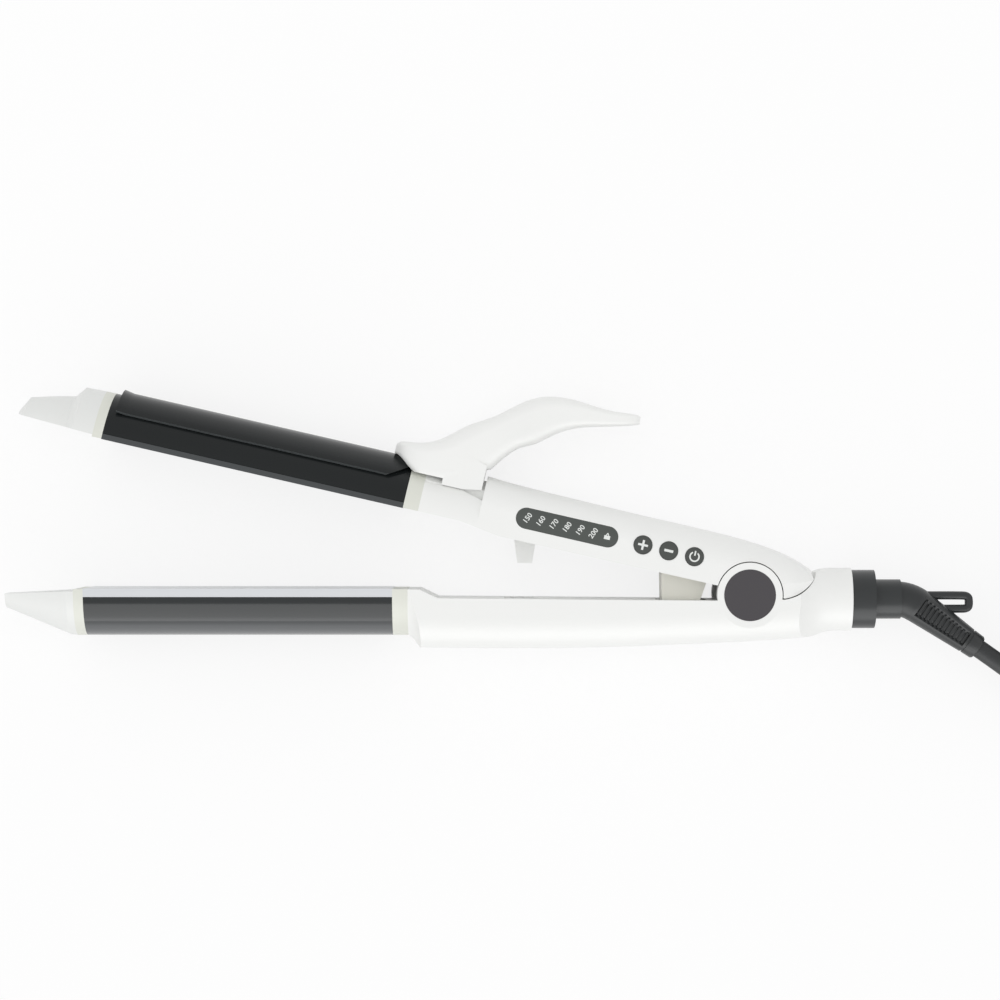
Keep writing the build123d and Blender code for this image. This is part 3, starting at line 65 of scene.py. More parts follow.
# Finishes: noise in the colour and the surface, and the range of turned-away faces that take a painted reflection
# colour
CLOUD_SCALE = 45.0
CLOUD_DETAIL = 3.0
GRAIN_DETAIL = 2.0
GRAIN_DEPTH = 0.2 * MM
COAT_ROUGHNESS = 0.12
PAINTED_REFLECTION_RANGE = (0.22, 0.42)

# Looks: grain is the scale and the strength of the fine bumps, mottle the share by which the colour varies
LOOKS = {
    "shell_white": {"roughness": 0.42, "grain": (2600.0, 0.03), "mottle": 0.012},
    "tip_white": {"roughness": 0.46, "grain": (2200.0, 0.03), "mottle": 0.015},
    "collar_beige": {"roughness": 0.48, "grain": (2200.0, 0.03), "mottle": 0.02},
    "shroud_beige": {"colour": (0.8, 0.79, 0.72), "roughness": 0.5, "grain": (1800.0, 0.04), "mottle": 0.03},
    "barrel_coating": {"roughness": 0.24, "grain": (3000.0, 0.012), "mottle": 0.08, "gloss": 0.3},
    "blade_coating": {"roughness": 0.24, "grain": (3000.0, 0.012), "mottle": 0.08, "gloss": 0.3},
    # The lower barrel's coating takes a painted reflection: grey mixed in towards its turned-away faces, standing
    # in for the mirrored floor
    "lower_coating": {"roughness": 0.12, "grain": (3000.0, 0.012), "mottle": 0.08, "painted_reflection": (0.1, 0.105, 0.11)},
    "plate_light": {"colour": (0.66, 0.68, 0.70), "roughness": 0.3, "grain": (3000.0, 0.02), "mottle": 0.02},
    "plate_dark": {"colour": (0.05, 0.055, 0.058), "roughness": 0.3, "grain": (3000.0, 0.02), "mottle": 0.05},
    "steel": {
        "colour": (0.5, 0.5, 0.52), "roughness": 0.32, "metallic": 1.0, "grain": (1600.0, 0.06), "mottle": 0.04,
    },
    "disc_dark": {
        "colour": (0.052, 0.047, 0.053), "roughness": 0.22, "grain": (2600.0, 0.015), "mottle": 0.05, "coat": 0.3,
    },
    "ceramic": {"colour": (0.82, 0.8, 0.74), "roughness": 0.35, "grain": (1800.0, 0.05), "mottle": 0.03},
    "aluminium": {
        "colour": (0.66, 0.67, 0.68), "roughness": 0.38, "metallic": 1.0, "grain": (1200.0, 0.08), "mottle": 0.05,
    },
    "board_green": {"colour": (0.03, 0.16, 0.07), "roughness": 0.4, "grain": (1500.0, 0.05), "mottle": 0.1},
    "lamp_body": {"colour": (0.75, 0.75, 0.7), "roughness": 0.5, "grain": (1800.0, 0.05), "mottle": 0.03},
    "part_black": {"colour": (0.02, 0.02, 0.022), "roughness": 0.45, "grain": (1800.0, 0.05), "mottle": 0.03},
    "contact_brass": {
        "colour": (0.72, 0.5, 0.2), "roughness": 0.3, "metallic": 1.0, "grain": (1500.0, 0.05), "mottle": 0.06,
    },
    "lead_red": {"colour": (0.42, 0.03, 0.025), "roughness": 0.5, "grain": (1500.0, 0.06), "mottle": 0.08},
    "swivel_dark": {"colour": (0.026, 0.029, 0.03), "roughness": 0.3, "grain": (2400.0, 0.04), "mottle": 0.06},
    "cord_rubber": {"roughness": 0.5, "grain": (1500.0, 0.08), "mottle": 0.06},
    "relief_rubber": {"roughness": 0.36, "grain": (1800.0, 0.05), "mottle": 0.08},
    "plug_metal": {
        "colour": (0.72, 0.68, 0.6), "roughness": 0.28, "metallic": 1.0, "grain": (900.0, 0.05), "mottle": 0.03,
    },
    "mark_white": {"colour": (0.78, 0.8, 0.78), "roughness": 0.5, "grain": (2000.0, 0.02), "mottle": 0.03},
    "window_dark": {"colour": (0.07, 0.078, 0.072), "roughness": 0.28, "grain": (2400.0, 0.02), "mottle": 0.05},
    "button_dark": {"colour": (0.06, 0.065, 0.06), "roughness": 0.42, "grain": (2400.0, 0.03), "mottle": 0.05},
}

# Clip blade: half its angle round the barrel, and a painted highlight on its long edges
BLADE_HALF = math.radians(54)
EDGE_MATCH = 0.96
EDGE_HIGHLIGHT_COLOUR = (0.06, 0.066, 0.068)
EDGE_ROUGHNESS = 0.4

# Display and buttons: places along and across the upper arm from the hinge axis; outlines are in millimetres
CONTROL_LINE = 8.3 * MM
WINDOW_SPAN = (-77.5 * MM, -50.0 * MM)
BUTTON_PLACES = [("plus", -38.1 * MM), ("minus", -29.4 * MM), ("power", -20.7 * MM)]
TEMPERATURES = ["150", "160", "170", "180", "190", "200"]
DIGIT_START = 0.4 * MM
DIGIT_PITCH = 4.45 * MM
DIGIT_RISE = 0.1 * MM
DIGIT_TURN = math.radians(66)
FONT_SCALE = 1.42
STROKE_GROWTH = 0.035 * MM
MARK_HALF = 0.01 * MM
MARK_LIFT = 0.03 * MM
MARK_CUTS = 5
ABOVE_ALL = 0.05
LOCK_SETBACK = 0.2 * MM
LOCK_OUTLINES = [
    [(-1.0, -0.9), (1.0, -0.9), (1.0, 0.35), (-1.0, 0.35)],
    [(-0.6, 0.35), (-0.3, 0.35), (0.0, 0.85), (0.3, 0.35), (0.6, 0.35), (0.15, 1.25), (-0.15, 1.25)],
]

# Cord: from the strain relief, inwards over the coil's upper layer, outwards under it and on to the plug
CORD_DIAMETER = 6.2 * MM
COIL_CENTRE = (144.0 * MM, -5.6 * MM)
COIL_START = math.radians(232.0)
COIL_TURNS = 7.25
COIL_OUTER = 49.4 * MM
COIL_STEP = 6.8 * MM
COIL_POINTS = 16
LAYER_CHANGE = 0.5
LEAD_REACH = 7.0 * MM
LEAD_SHARES = ((0.333, 0.24), (0.667, 0.76))
TAIL_RUN = 7.5 * MM
TAIL_RISE = [0.0, 0.0, 0.44, 1.0, 1.0]
PLUG_AXIS_HEIGHT = 5.6 * MM
CURVE_STEPS = 6
ROUND_STEPS = 5

# Strain relief: a level neck, an even bend and a cone; panel, profile, inset and loop are in millimetres
RELIEF_CORNER = Vector((54.0 * MM, -1.7 * MM, MIDDLE))
RELIEF_ANGLE = math.radians(35.0)
RELIEF_HEADING = Vector((math.cos(RELIEF_ANGLE), -math.sin(RELIEF_ANGLE), 0))
RELIEF_LENGTH = 28.6 * MM
RELIEF_START = 2.6 * MM
RELIEF_SIDES = 48
RELIEF_CREASE = math.radians(40)
NECK_RADIUS = 5.9 * MM
NECK_SHARES = (0.0, 0.35, 0.7, 1.0)
BEND_RUN = 3.9 * MM
BEND_STEPS = 8
RELIEF_PANEL = (4.4, 23.4)
PANEL_DEPTH = 1.3 * MM
PANEL_EDGE = 0.86
RELIEF_PROFILE = [
    (4.0, 5.85), (4.35, 5.8), (4.45, 5.8), (10.0, 5.4), (15.0, 5.05), (20.0, 4.7), (23.3, 4.45),
    (23.45, 4.45), (24.0, 4.4), (24.05, 4.05), (24.6, 4.05), (24.65, 4.35), (28.1, 4.2), (28.6, 3.8),
]
RIB_INSET = 0.8
RIB_POINTS = 5
RIB_DESCENT = -1.8 * MM
RIB_WIDTH = 5.4 * MM
RIB_THICKNESS = 0.75 * MM
RIB_LEVEL = 4.75 * MM
RIB_NARROWING = 0.3
LOOP_TOP = -0.5 * MM
LOOP_RADIUS = 1.4 * MM
LOOP_ROUTE = [
    (57.0, 0.0), (64.0, 0.0), (70.6, 0.0), (74.2, -0.1),
    (74.45, -2.3), (74.2, -4.4), (70.6, -4.46), (62.5, -4.46),
]

# Stage
CAMERA_PLACE = (-0.0824, 0.0314, MIDDLE + 1.1)
CAMERA_LENS = 118.4
CAMERA_SENSOR = 36.0
LAMP_TARGET = Vector((-0.08, 0.03, 0))
KEY_PLACE = (-0.3, 0.2, 1.5)
KEY_SIZE = (1.4, 1.4)
CARD_PLACE = (-0.1, -1.1, 0.56)
CARD_SIZE = (2.4, 1.1)
FLOOR_HALF = 3.0
FLOOR_DROP = 0.2 * MM
FLOOR_TONES = (0.93, 0.95)
FLOOR_GLOW = 0.8
FIBRE_SCALE = 12.0
SKY_HORIZON = 1.04
SKY_ZENITH = 0.72
SKY_SIDE = -0.2
WHITE = (1, 1, 1, 1)


def colour_setting(name, description, default):
    """A colour in the settings."""
    return FloatVectorProperty(
        name=name, description=description, subtype="COLOR", size=3, min=0, max=1, default=default,
    )


class StylerSettings(bpy.types.PropertyGroup):
    """Colours of the finishes, sizes of marks and ribs, and power of the lamps."""

    shell_colour: colour_setting("Shell colour", "Moulded handle halves and thumb lever", (0.875, 0.88, 0.865))
    tip_colour: colour_setting("Tip colour", "Cool tips of both barrels", (0.79, 0.8, 0.785))
    collar_colour: colour_setting("Collar colour", "Heat collars and tip rings", (0.73, 0.74, 0.675))
    barrel_colour: colour_setting("Barrel colour", "Coated upper barrel and clip blade", (0.010, 0.012, 0.0125))
    lower_colour: colour_setting("Lower barrel colour", "Coating of the lower barrel", (0.010, 0.013, 0.014))
    cord_colour: colour_setting("Cord colour", "Cord, plug and strain relief", (0.022, 0.024, 0.025))
    digit_height: FloatProperty(
        name="Digit height", description="Height of the temperatures on the display",
        unit="LENGTH", min=0.001, max=0.004, default=0.0017,
    )
    slit_count: IntProperty(
        name="Relief ribs", description="Number of ribs on the cord's strain relief", min=4, max=20, default=12,
    )
    key_light: FloatProperty(
        name="Key light", description="Power of the large soft lamp", min=0, max=200, default=5.0,
    )
    card_light: FloatProperty(
        name="Card light", description="Power of the panel mirrored in the barrels", min=0, max=200, default=11.5,
    )


def settings():
    """The styler's settings in the open scene."""
    return bpy.context.scene.styler


# Nodes and meshes

def new_material(name):
    """An empty material and its node tree."""
    material = bpy.data.materials.new(name)
    material.use_nodes = True
    tree = material.node_tree
    tree.nodes.clear()
    return material, tree


def add_node(tree, kind, values=None, operation=None):
    """A new node with its operation and the given input values."""
    node = tree.nodes.new(kind)
    if operation:
        node.operation = operation
    for entry, value in (values or {}).items():
        node.inputs[entry].default_value = value
    return node


def math_node(tree, operation, values=None, kind="ShaderNodeMath"):
    """A new node that reckons; its values go by the number of the input."""
    return add_node(tree, kind, values, operation)


def colour_mix(tree, first=WHITE, second=WHITE):
    """A new node that mixes two colours."""
    node = tree.nodes.new("ShaderNodeMix")
    node.data_type = "RGBA"
    node.inputs["A"].default_value = first
    node.inputs["B"].default_value = second
    return node


def wire(tree, *runs):
    """Join nodes, each run given as node, output, node and input."""
    for source, output, target, entry in runs:
        tree.links.new(source.outputs[output], target.inputs[entry])


def linked(name, data):
    """A new object with the data, in the open collection."""
    piece = bpy.data.objects.new(name, data)
    bpy.context.collection.objects.link(piece)
    return piece


def mesh_piece(name, build, matrix=Matrix.Identity(4)):
    """A piece whose mesh is filled by build and then put in its place."""
    work = bmesh.new()
    build(work)
    bmesh.ops.transform(work, matrix=matrix, verts=work.verts)
    bmesh.ops.recalc_face_normals(work, faces=work.faces)
    mesh = bpy.data.meshes.new(name)
    work.to_mesh(mesh)
    work.free()
    return linked(name, mesh)


def plain_mesh(source, name, matrix=Matrix.Identity(4)):
    """A curve, text or modified object as a mesh piece in its place; the source is removed."""
    graph = bpy.context.evaluated_depsgraph_get()
    mesh = bpy.data.meshes.new_from_object(source.evaluated_get(graph))
    mesh.transform(matrix)
    piece = linked(name, mesh)
    bpy.data.objects.remove(source)
    return piece


def merged_copy(node, name):
    """A CAD node's shape as a piece of its own, its loose triangles joined."""

    def build(work):
        work.from_mesh(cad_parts[node].data)
        bmesh.ops.remove_doubles(work, verts=work.verts, dist=WELD_DISTANCE)

    return mesh_piece(name, build)


def as_one(pieces, name):
    """Several mesh pieces as one object."""

    def build(work):
        for piece in pieces:
            work.from_mesh(piece.data)

    result = mesh_piece(name, build)
    for piece in pieces:
        bpy.data.objects.remove(piece)
    return result


def spline_curve(name, points, bevel):
    """A smooth curve near the control points, as a line or as a round bar of radius bevel."""
    data = bpy.data.curves.new(name, "CURVE")
    data.dimensions = "3D"
    data.resolution_u = CURVE_STEPS
    data.bevel_depth = bevel
    data.bevel_resolution = ROUND_STEPS
    data.use_fill_caps = True
    line = data.splines.new("NURBS")
    line.points.add(len(points) - 1)
    for spot, point in zip(line.points, points):
        spot.co = (*point, 1)
    line.order_u = 3
    line.use_endpoint_u = True
    return linked(name, data)


# Finishes

def finish(name, colour, roughness, grain, mottle, metallic=0.0, coat=0.0, gloss=0.5, painted_reflection=None):
    """A moulded, coated or metal finish: fine grain in the surface and slight clouding in the colour.

    The last argument is a painted reflection: a lighter colour mixed in where the coating's surface turns away
    from the view, standing in for the floor mirrored in it.
    """
    material, tree = new_material(name)
    darker = [c * (1 - mottle) for c in colour]
    lighter = [min(1.0, c * (1 + mottle)) for c in colour]
    place = add_node(tree, "ShaderNodeTexCoord")
    clouds = add_node(tree, "ShaderNodeTexNoise", {"Scale": CLOUD_SCALE, "Detail": CLOUD_DETAIL})
    paint = colour_mix(tree, (*darker, 1), (*lighter, 1))
    grit = add_node(tree, "ShaderNodeTexNoise", {"Scale": grain[0], "Detail": GRAIN_DETAIL})
    bump = add_node(tree, "ShaderNodeBump", {"Strength": grain[1], "Distance": GRAIN_DEPTH})
    shader = add_node(tree, "ShaderNodeBsdfPrincipled", {
        "Roughness": roughness, "Metallic": metallic, "Specular IOR Level": gloss,
        "Coat Weight": coat, "Coat Roughness": COAT_ROUGHNESS,
    })
    output = add_node(tree, "ShaderNodeOutputMaterial")
    wire(
        tree,
        (place, "Object", clouds, "Vector"),
        (place, "Object", grit, "Vector"),
        (clouds, "Fac", paint, "Factor"),
        (grit, "Fac", bump, "Height"),
        (bump, "Normal", shader, "Normal"),
        (shader, "BSDF", output, "Surface"),
    )
    # Painted reflection: a lighter colour mixed in where the surface turns away from the view
    if painted_reflection:
        facing = add_node(tree, "ShaderNodeLayerWeight")
        turned = add_node(tree, "ShaderNodeMapRange", {"From Min": PAINTED_REFLECTION_RANGE[0], "From Max": PAINTED_REFLECTION_RANGE[1]})
        edge = colour_mix(tree, second=(*painted_reflection, 1))
        wire(
            tree,
            (facing, "Facing", turned, "Value"),
            (turned, "Result", edge, "Factor"),
            (paint, "Result", edge, "A"),
        )
        paint = edge
    wire(tree, (paint, "Result", shader, "Base Color"))
    return material


def look(name, colour=None):
    """The finish of that name from the table, in a colour of the settings where one is given."""
    values = dict(LOOKS[name])
    if colour is not None:
        values["colour"] = colour
    return finish(name, **values)


def painted_edge_highlight(material):
    """Paint a lighter grey highlight on the two long edges of the clip's blade, found by the way they face."""
    tree = material.node_tree
    shader = next(node for node in tree.nodes if node.bl_idname == "ShaderNodeBsdfPrincipled")
    output = next(node for node in tree.nodes if node.bl_idname == "ShaderNodeOutputMaterial")
    # Painted highlight: a lighter, rougher grey on the faces of the blade's long edges, standing in for light
    # caught by the edges
    highlight_shader = add_node(tree, "ShaderNodeBsdfPrincipled", {
        "Base Color": (*EDGE_HIGHLIGHT_COLOUR, 1), "Roughness": EDGE_ROUGHNESS,
    })
    facing = add_node(tree, "ShaderNodeNewGeometry")
    either = math_node(tree, "MAXIMUM")
    blend = add_node(tree, "ShaderNodeMixShader")
    for number, side in enumerate((1, -1)):
        across = Vector((0, -math.sin(BLADE_HALF), side * math.cos(BLADE_HALF)))
        way = Matrix.Rotation(-OPEN_ANGLE, 3, "Z") @ across
        match = math_node(tree, "DOT_PRODUCT", {1: way}, "ShaderNodeVectorMath")
        limit = math_node(tree, "GREATER_THAN", {1: EDGE_MATCH})
        wire(
            tree,
            (facing, "True Normal", match, 0),
            (match, "Value", limit, 0),
            (limit, "Value", either, number),
        )
    wire(
        tree,
        (either, "Value", blend, "Fac"),
        (shader, "BSDF", blend, 1),
        (highlight_shader, "BSDF", blend, 2),
        (blend, "Shader", output, "Surface"),
    )
    return material


def dress(names, material):
    """Give CAD nodes their finish."""
    for name in names:
        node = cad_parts[name]
        if not node.material_slots:
            node.data.materials.append(material)
        for place in node.material_slots:
            place.material = material


def keep(piece, material, smooth=True):
    """Finish a made piece with one material and even shading."""
    piece.data.materials.clear()
    piece.data.materials.append(material)
    for face in piece.data.polygons:
        face.use_smooth = smooth


class StylerShells(bpy.types.Operator):
    """Handle halves, thumb lever, tips, collars, shroud and peg"""

    bl_idname = "styler.shells"
    bl_label = "Shells, tips and collars"

    def execute(self, context):
        values = settings()
        shell = look("shell_white", values.shell_colour)
        dress(["lower_near_shell", "lower_far_shell", "upper_near_shell", "upper_far_shell"], shell)
        dress(["closing_peg", "thumb_lever"], shell)
        dress(["lower_cool_tip", "upper_cool_tip"], look("tip_white", values.tip_colour))
        collar = look("collar_beige", values.collar_colour)
        dress(["lower_heat_collar", "upper_heat_collar", "lower_tip_ring", "upper_tip_ring"], collar)
        dress(["wire_shroud"], look("shroud_beige"))
        return {"FINISHED"}


class StylerBarrels(bpy.types.Operator):
    """Curling barrels, flat plates and clip blade"""

    bl_idname = "styler.barrels"
    bl_label = "Barrels, plates and blade"

    def execute(self, context):
        values = settings()
        dress(["upper_barrel_shell"], look("barrel_coating", values.barrel_colour))
        # The clip blade's long edges get a painted highlight
        dress(["clip_blade"], painted_edge_highlight(look("blade_coating", values.barrel_colour)))
        dress(["lower_barrel_shell"], look("lower_coating", values.lower_colour))
        dress(["lower_plate"], look("plate_light"))
        dress(["upper_plate"], look("plate_dark"))
        return {"FINISHED"}


class StylerInner(bpy.types.Operator):
    """Metal, electric and hidden pieces, with the hinge leads as a joined copy of their own"""

    bl_idname = "styler.inner"
    bl_label = "Hinge, screws and inner pieces"

    def execute(self, context):
        steel = look("steel")
        dress(["lower_handle_screws", "upper_handle_screws", "board_screws", "clip_rivets"], steel)
        dress(["hinge_pin", "hinge_pin_ring", "clip_pin", "hinge_spring", "clip_spring", "thermal_fuse"], steel)
        dress(["hinge_disc_near", "hinge_disc_far"], look("disc_dark"))
        dress(["lower_heater", "upper_heater"], look("ceramic"))
        dress(["lower_heat_spreader", "upper_heat_spreader"], look("aluminium"))
        dress(["control_board"], look("board_green"))
        dress(["led_module"], look("lamp_body"))
        dress(["button_switches", "board_parts"], look("part_black"))
        dress(["swivel_brushes", "slip_rings"], look("contact_brass"))
        sleeve = look("lead_red")
        dress(["lower_leads", "mains_leads", "upper_leads"], sleeve)
        leads = merged_copy("hinge_leads", "bending_leads")
        keep(leads, sleeve)
        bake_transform(leads)
        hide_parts("hinge_leads")
        dress(["swivel_stem"], look("swivel_dark"))
        return {"FINISHED"}


# Cord

def coil_spot(angle, out, height):
    """The point at an angle and a distance about the coil's axis."""
    return Vector((COIL_CENTRE[0] + out * math.cos(angle), COIL_CENTRE[1] + out * math.sin(angle), height))


def coil_way(angle):
    """The direction in which the coil runs at an angle."""
    return Vector((-math.sin(angle), math.cos(angle), 0))


def cord_points():
    """Where the cord leaves the relief, and its control points round the coil's turns to the plug."""
    leave = RELIEF_CORNER + RELIEF_HEADING * RELIEF_LENGTH
    radius = CORD_DIAMETER / 2
    half = COIL_TURNS / 2
    inner = COIL_OUTER - COIL_STEP * half
    reach = 1 / math.cos(math.pi / COIL_POINTS)
    coil = []
    for index in range(int(COIL_TURNS * COIL_POINTS) + 1):
        turn = index / COIL_POINTS
        fall = min(1.0, max(0.0, (turn - half + LAYER_CHANGE / 2) / LAYER_CHANGE))
        height = radius + COIL_STEP * (1 - fall * fall * (3 - 2 * fall))
        out = (inner + COIL_STEP * abs(turn - half)) * reach
        coil.append(coil_spot(COIL_START + 2 * math.pi * turn, out, height))
    start_way = coil_way(COIL_START)
    lead_end = coil_spot(COIL_START, COIL_OUTER, radius + COIL_STEP) - start_way * CORD_DIAMETER
    first = leave + RELIEF_HEADING * LEAD_REACH
    last = lead_end - start_way * LEAD_REACH
    middle = [
        Vector((first.x + (last.x - first.x) * along, first.y + (last.y - first.y) * along,
                first.z + (last.z - first.z) * drop))
        for along, drop in LEAD_SHARES
    ]
    last_angle = COIL_START + 2 * math.pi * COIL_TURNS
    end_way = coil_way(last_angle)
    tail_start = coil_spot(last_angle, COIL_OUTER, radius) + end_way * CORD_DIAMETER
    tail = [
        tail_start + end_way * TAIL_RUN * index + Vector((0, 0, rise * (PLUG_AXIS_HEIGHT - radius)))
        for index, rise in enumerate(TAIL_RISE)
    ]
    return leave, [leave, first, *middle, last, lead_end, *coil[1:-1], *tail]


class StylerCord(bpy.types.Operator):
    """The free cord, its put-away coil and its plug"""

    bl_idname = "styler.cord"
    bl_label = "Cord"

    def execute(self, context):
        rubber = look("cord_rubber", settings().cord_colour)
        leave, points = cord_points()
        route = plain_mesh(spline_curve("cord_route", points, 0), "cord_line")
        bpy.data.objects.remove(route)
        cord = plain_mesh(spline_curve("cord_tube", points, CORD_DIAMETER / 2), "mains_cord")
        keep(cord, rubber)
        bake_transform(cord)
        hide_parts("cord_lead", "cord_coil", "cord_tail")
        dress(["plug_body"], rubber)
        dress(["plug_blades"], look("plug_metal"))
        return {"FINISHED"}


# Display and buttons

def near_surface(node):
    """A search tree over a CAD node, for laying marks on its surface."""
    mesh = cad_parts[node].data
    return BVHTree.FromPolygons([v.co.copy() for v in mesh.vertices], [tuple(p.vertices) for p in mesh.polygons])


def lay_on(piece, tree):
    """Lower each point of a flat mark onto the surface below it, keeping its own thickness."""
    for vertex in piece.data.vertices:
        spot, _, _, _ = tree.ray_cast(Vector((vertex.co.x, vertex.co.y, ABOVE_ALL)), Vector((0, 0, -1)))
        if spot is None:
            raise RuntimeError(piece.name + " reaches past its surface")
        vertex.co.z = spot.z + MARK_LIFT + vertex.co.z


def text_mark(body, height, x, y, turn):
    """A short text as a thin solid centred at a place of the upper arm's near flank."""
    data = bpy.data.curves.new("mark_" + body, "FONT")
    data.body = body
    data.size = height * FONT_SCALE
    data.align_x = "CENTER"
    data.align_y = "CENTER"
    data.extrude = MARK_HALF
    data.offset = STROKE_GROWTH
    data.resolution_u = 3
    place = NEAR_FLANK @ Matrix.Translation((x, y, 0)) @ Matrix.Rotation(turn, 4, "Z")
    return plain_mesh(linked("mark_" + body, data), "mark_" + body, place)


def flat_shape(name, outlines, x, y, cuts=0):
    """Thin flat shapes from outlines in millimetres about a place of the upper arm's near flank."""

    def build(work):
        for outline in outlines:
            low = [work.verts.new((a * MM, b * MM, -MARK_HALF)) for a, b in outline]
            side = bmesh.ops.extrude_face_region(work, geom=[work.faces.new(low)])
            raised = [v for v in side["geom"] if isinstance(v, bmesh.types.BMVert)]
            bmesh.ops.translate(work, verts=raised, vec=(0, 0, 2 * MARK_HALF))
        if cuts:
            bmesh.ops.subdivide_edges(work, edges=work.edges, cuts=cuts, use_grid_fill=True)

    return mesh_piece(name, build, NEAR_FLANK @ Matrix.Translation((x, y, 0)))


def bar(length, width, y=0.0):
    """Outline of a bar, length along the arm and width across it, centred at a height y."""
    return [(-length / 2, y - width / 2), (length / 2, y - width / 2),
            (length / 2, y + width / 2), (-length / 2, y + width / 2)]


def ring_pieces(radius, width, gap, count=28):
    """A ring open at the top, as short four-sided pieces."""
    start = math.pi / 2 + gap
    sweep = 2 * math.pi - 2 * gap
    inner, outer = radius - width / 2, radius + width / 2
    pieces = []
    for index in range(count):
        a = start + sweep * index / count
        b = start + sweep * (index + 1) / count
        pieces.append([
            (math.cos(angle) * reach, math.sin(angle) * reach)
            for angle, reach in ((a, inner), (a, outer), (b, outer), (b, inner))
        ])
    return pieces


class StylerControls(bpy.types.Operator):
    """Display window with its temperatures, and the marked buttons"""

    bl_idname = "styler.controls"
    bl_label = "Display and buttons"

    def lay_mark(self, mark, tree, material, body):
        """Lay a mark on its surface and let it move with its body."""
        lay_on(mark, tree)
        keep(mark, material, smooth=False)
        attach(mark, body)

    def execute(self, context):
        white = look("mark_white")
        dress(["display_window"], look("window_dark"))
        dress([name + "_button" for name, _ in BUTTON_PLACES], look("button_dark"))
        marks = []
        for index, number in enumerate(TEMPERATURES):
            x = WINDOW_SPAN[0] + DIGIT_START + DIGIT_PITCH * index
            marks.append(text_mark(number, settings().digit_height, x, CONTROL_LINE + DIGIT_RISE, DIGIT_TURN))
        marks.append(flat_shape("mark_lock", LOCK_OUTLINES, WINDOW_SPAN[1] - LOCK_SETBACK, CONTROL_LINE))
        window = near_surface("display_window")
        for mark in marks:
            self.lay_mark(mark, window, white, "upper_arm")
        shapes = {
            "plus": [bar(length=3.3, width=0.72), bar(length=0.72, width=3.3)],
            "minus": [bar(length=3.0, width=0.85)],
            "power": ring_pieces(radius=1.5, width=0.5, gap=0.55) + [bar(length=0.5, width=1.6, y=1.15)],
        }
        for name, x in BUTTON_PLACES:
            mark = flat_shape("mark_" + name, shapes[name], x, CONTROL_LINE, MARK_CUTS)
            self.lay_mark(mark, near_surface(name + "_button"), white, name + "_key")
        return {"FINISHED"}


# Strain relief

def relief_sections():
    """Centre, heading, radius and place on the cone of each section from the neck to the cap.

    The place is in millimetres from the corner, and 0 before the cone.
    """
    rows = []
    for share in NECK_SHARES:
        centre = RELIEF_CORNER - Vector((RELIEF_START * (1 - share) + BEND_RUN * share, 0, 0))
        rows.append((centre, 0.0, NECK_RADIUS, 0.0))
    bend_radius = BEND_RUN / math.tan(RELIEF_ANGLE / 2)
    for index in range(1, BEND_STEPS + 1):
        turn = RELIEF_ANGLE * index / BEND_STEPS
        across = Vector((-BEND_RUN + bend_radius * math.sin(turn), bend_radius * (math.cos(turn) - 1), 0))
        rows.append((RELIEF_CORNER + across, turn, NECK_RADIUS, 0.0))
    for along, radius in RELIEF_PROFILE:
        rows.append((RELIEF_CORNER + RELIEF_HEADING * along * MM, RELIEF_ANGLE, radius * MM, along))
    return rows


def relief_body(work):
    """A bent turned body whose near and far sides carry a sunk panel for the ribs."""
    rows = []
    for centre, turn, radius, along in relief_sections():
        side = Vector((math.sin(turn), math.cos(turn), 0))
        sunk = RELIEF_PANEL[0] < along < RELIEF_PANEL[1]
        ring = []
        for index in range(RELIEF_SIDES):
            angle = 2 * math.pi * index / RELIEF_SIDES
            depth = PANEL_DEPTH if sunk and abs(math.cos(angle)) > PANEL_EDGE else 0.0
            out = side * math.sin(angle) + Vector((0, 0, math.cos(angle)))
            ring.append(work.verts.new(centre + out * (radius - depth)))
        rows.append(ring)
    for low, high in zip(rows, rows[1:]):
        for index in range(RELIEF_SIDES):
            after = (index + 1) % RELIEF_SIDES
            work.faces.new((low[index], low[after], high[after], high[index]))
    work.faces.new(rows[0][::-1])
    work.faces.new(rows[-1])


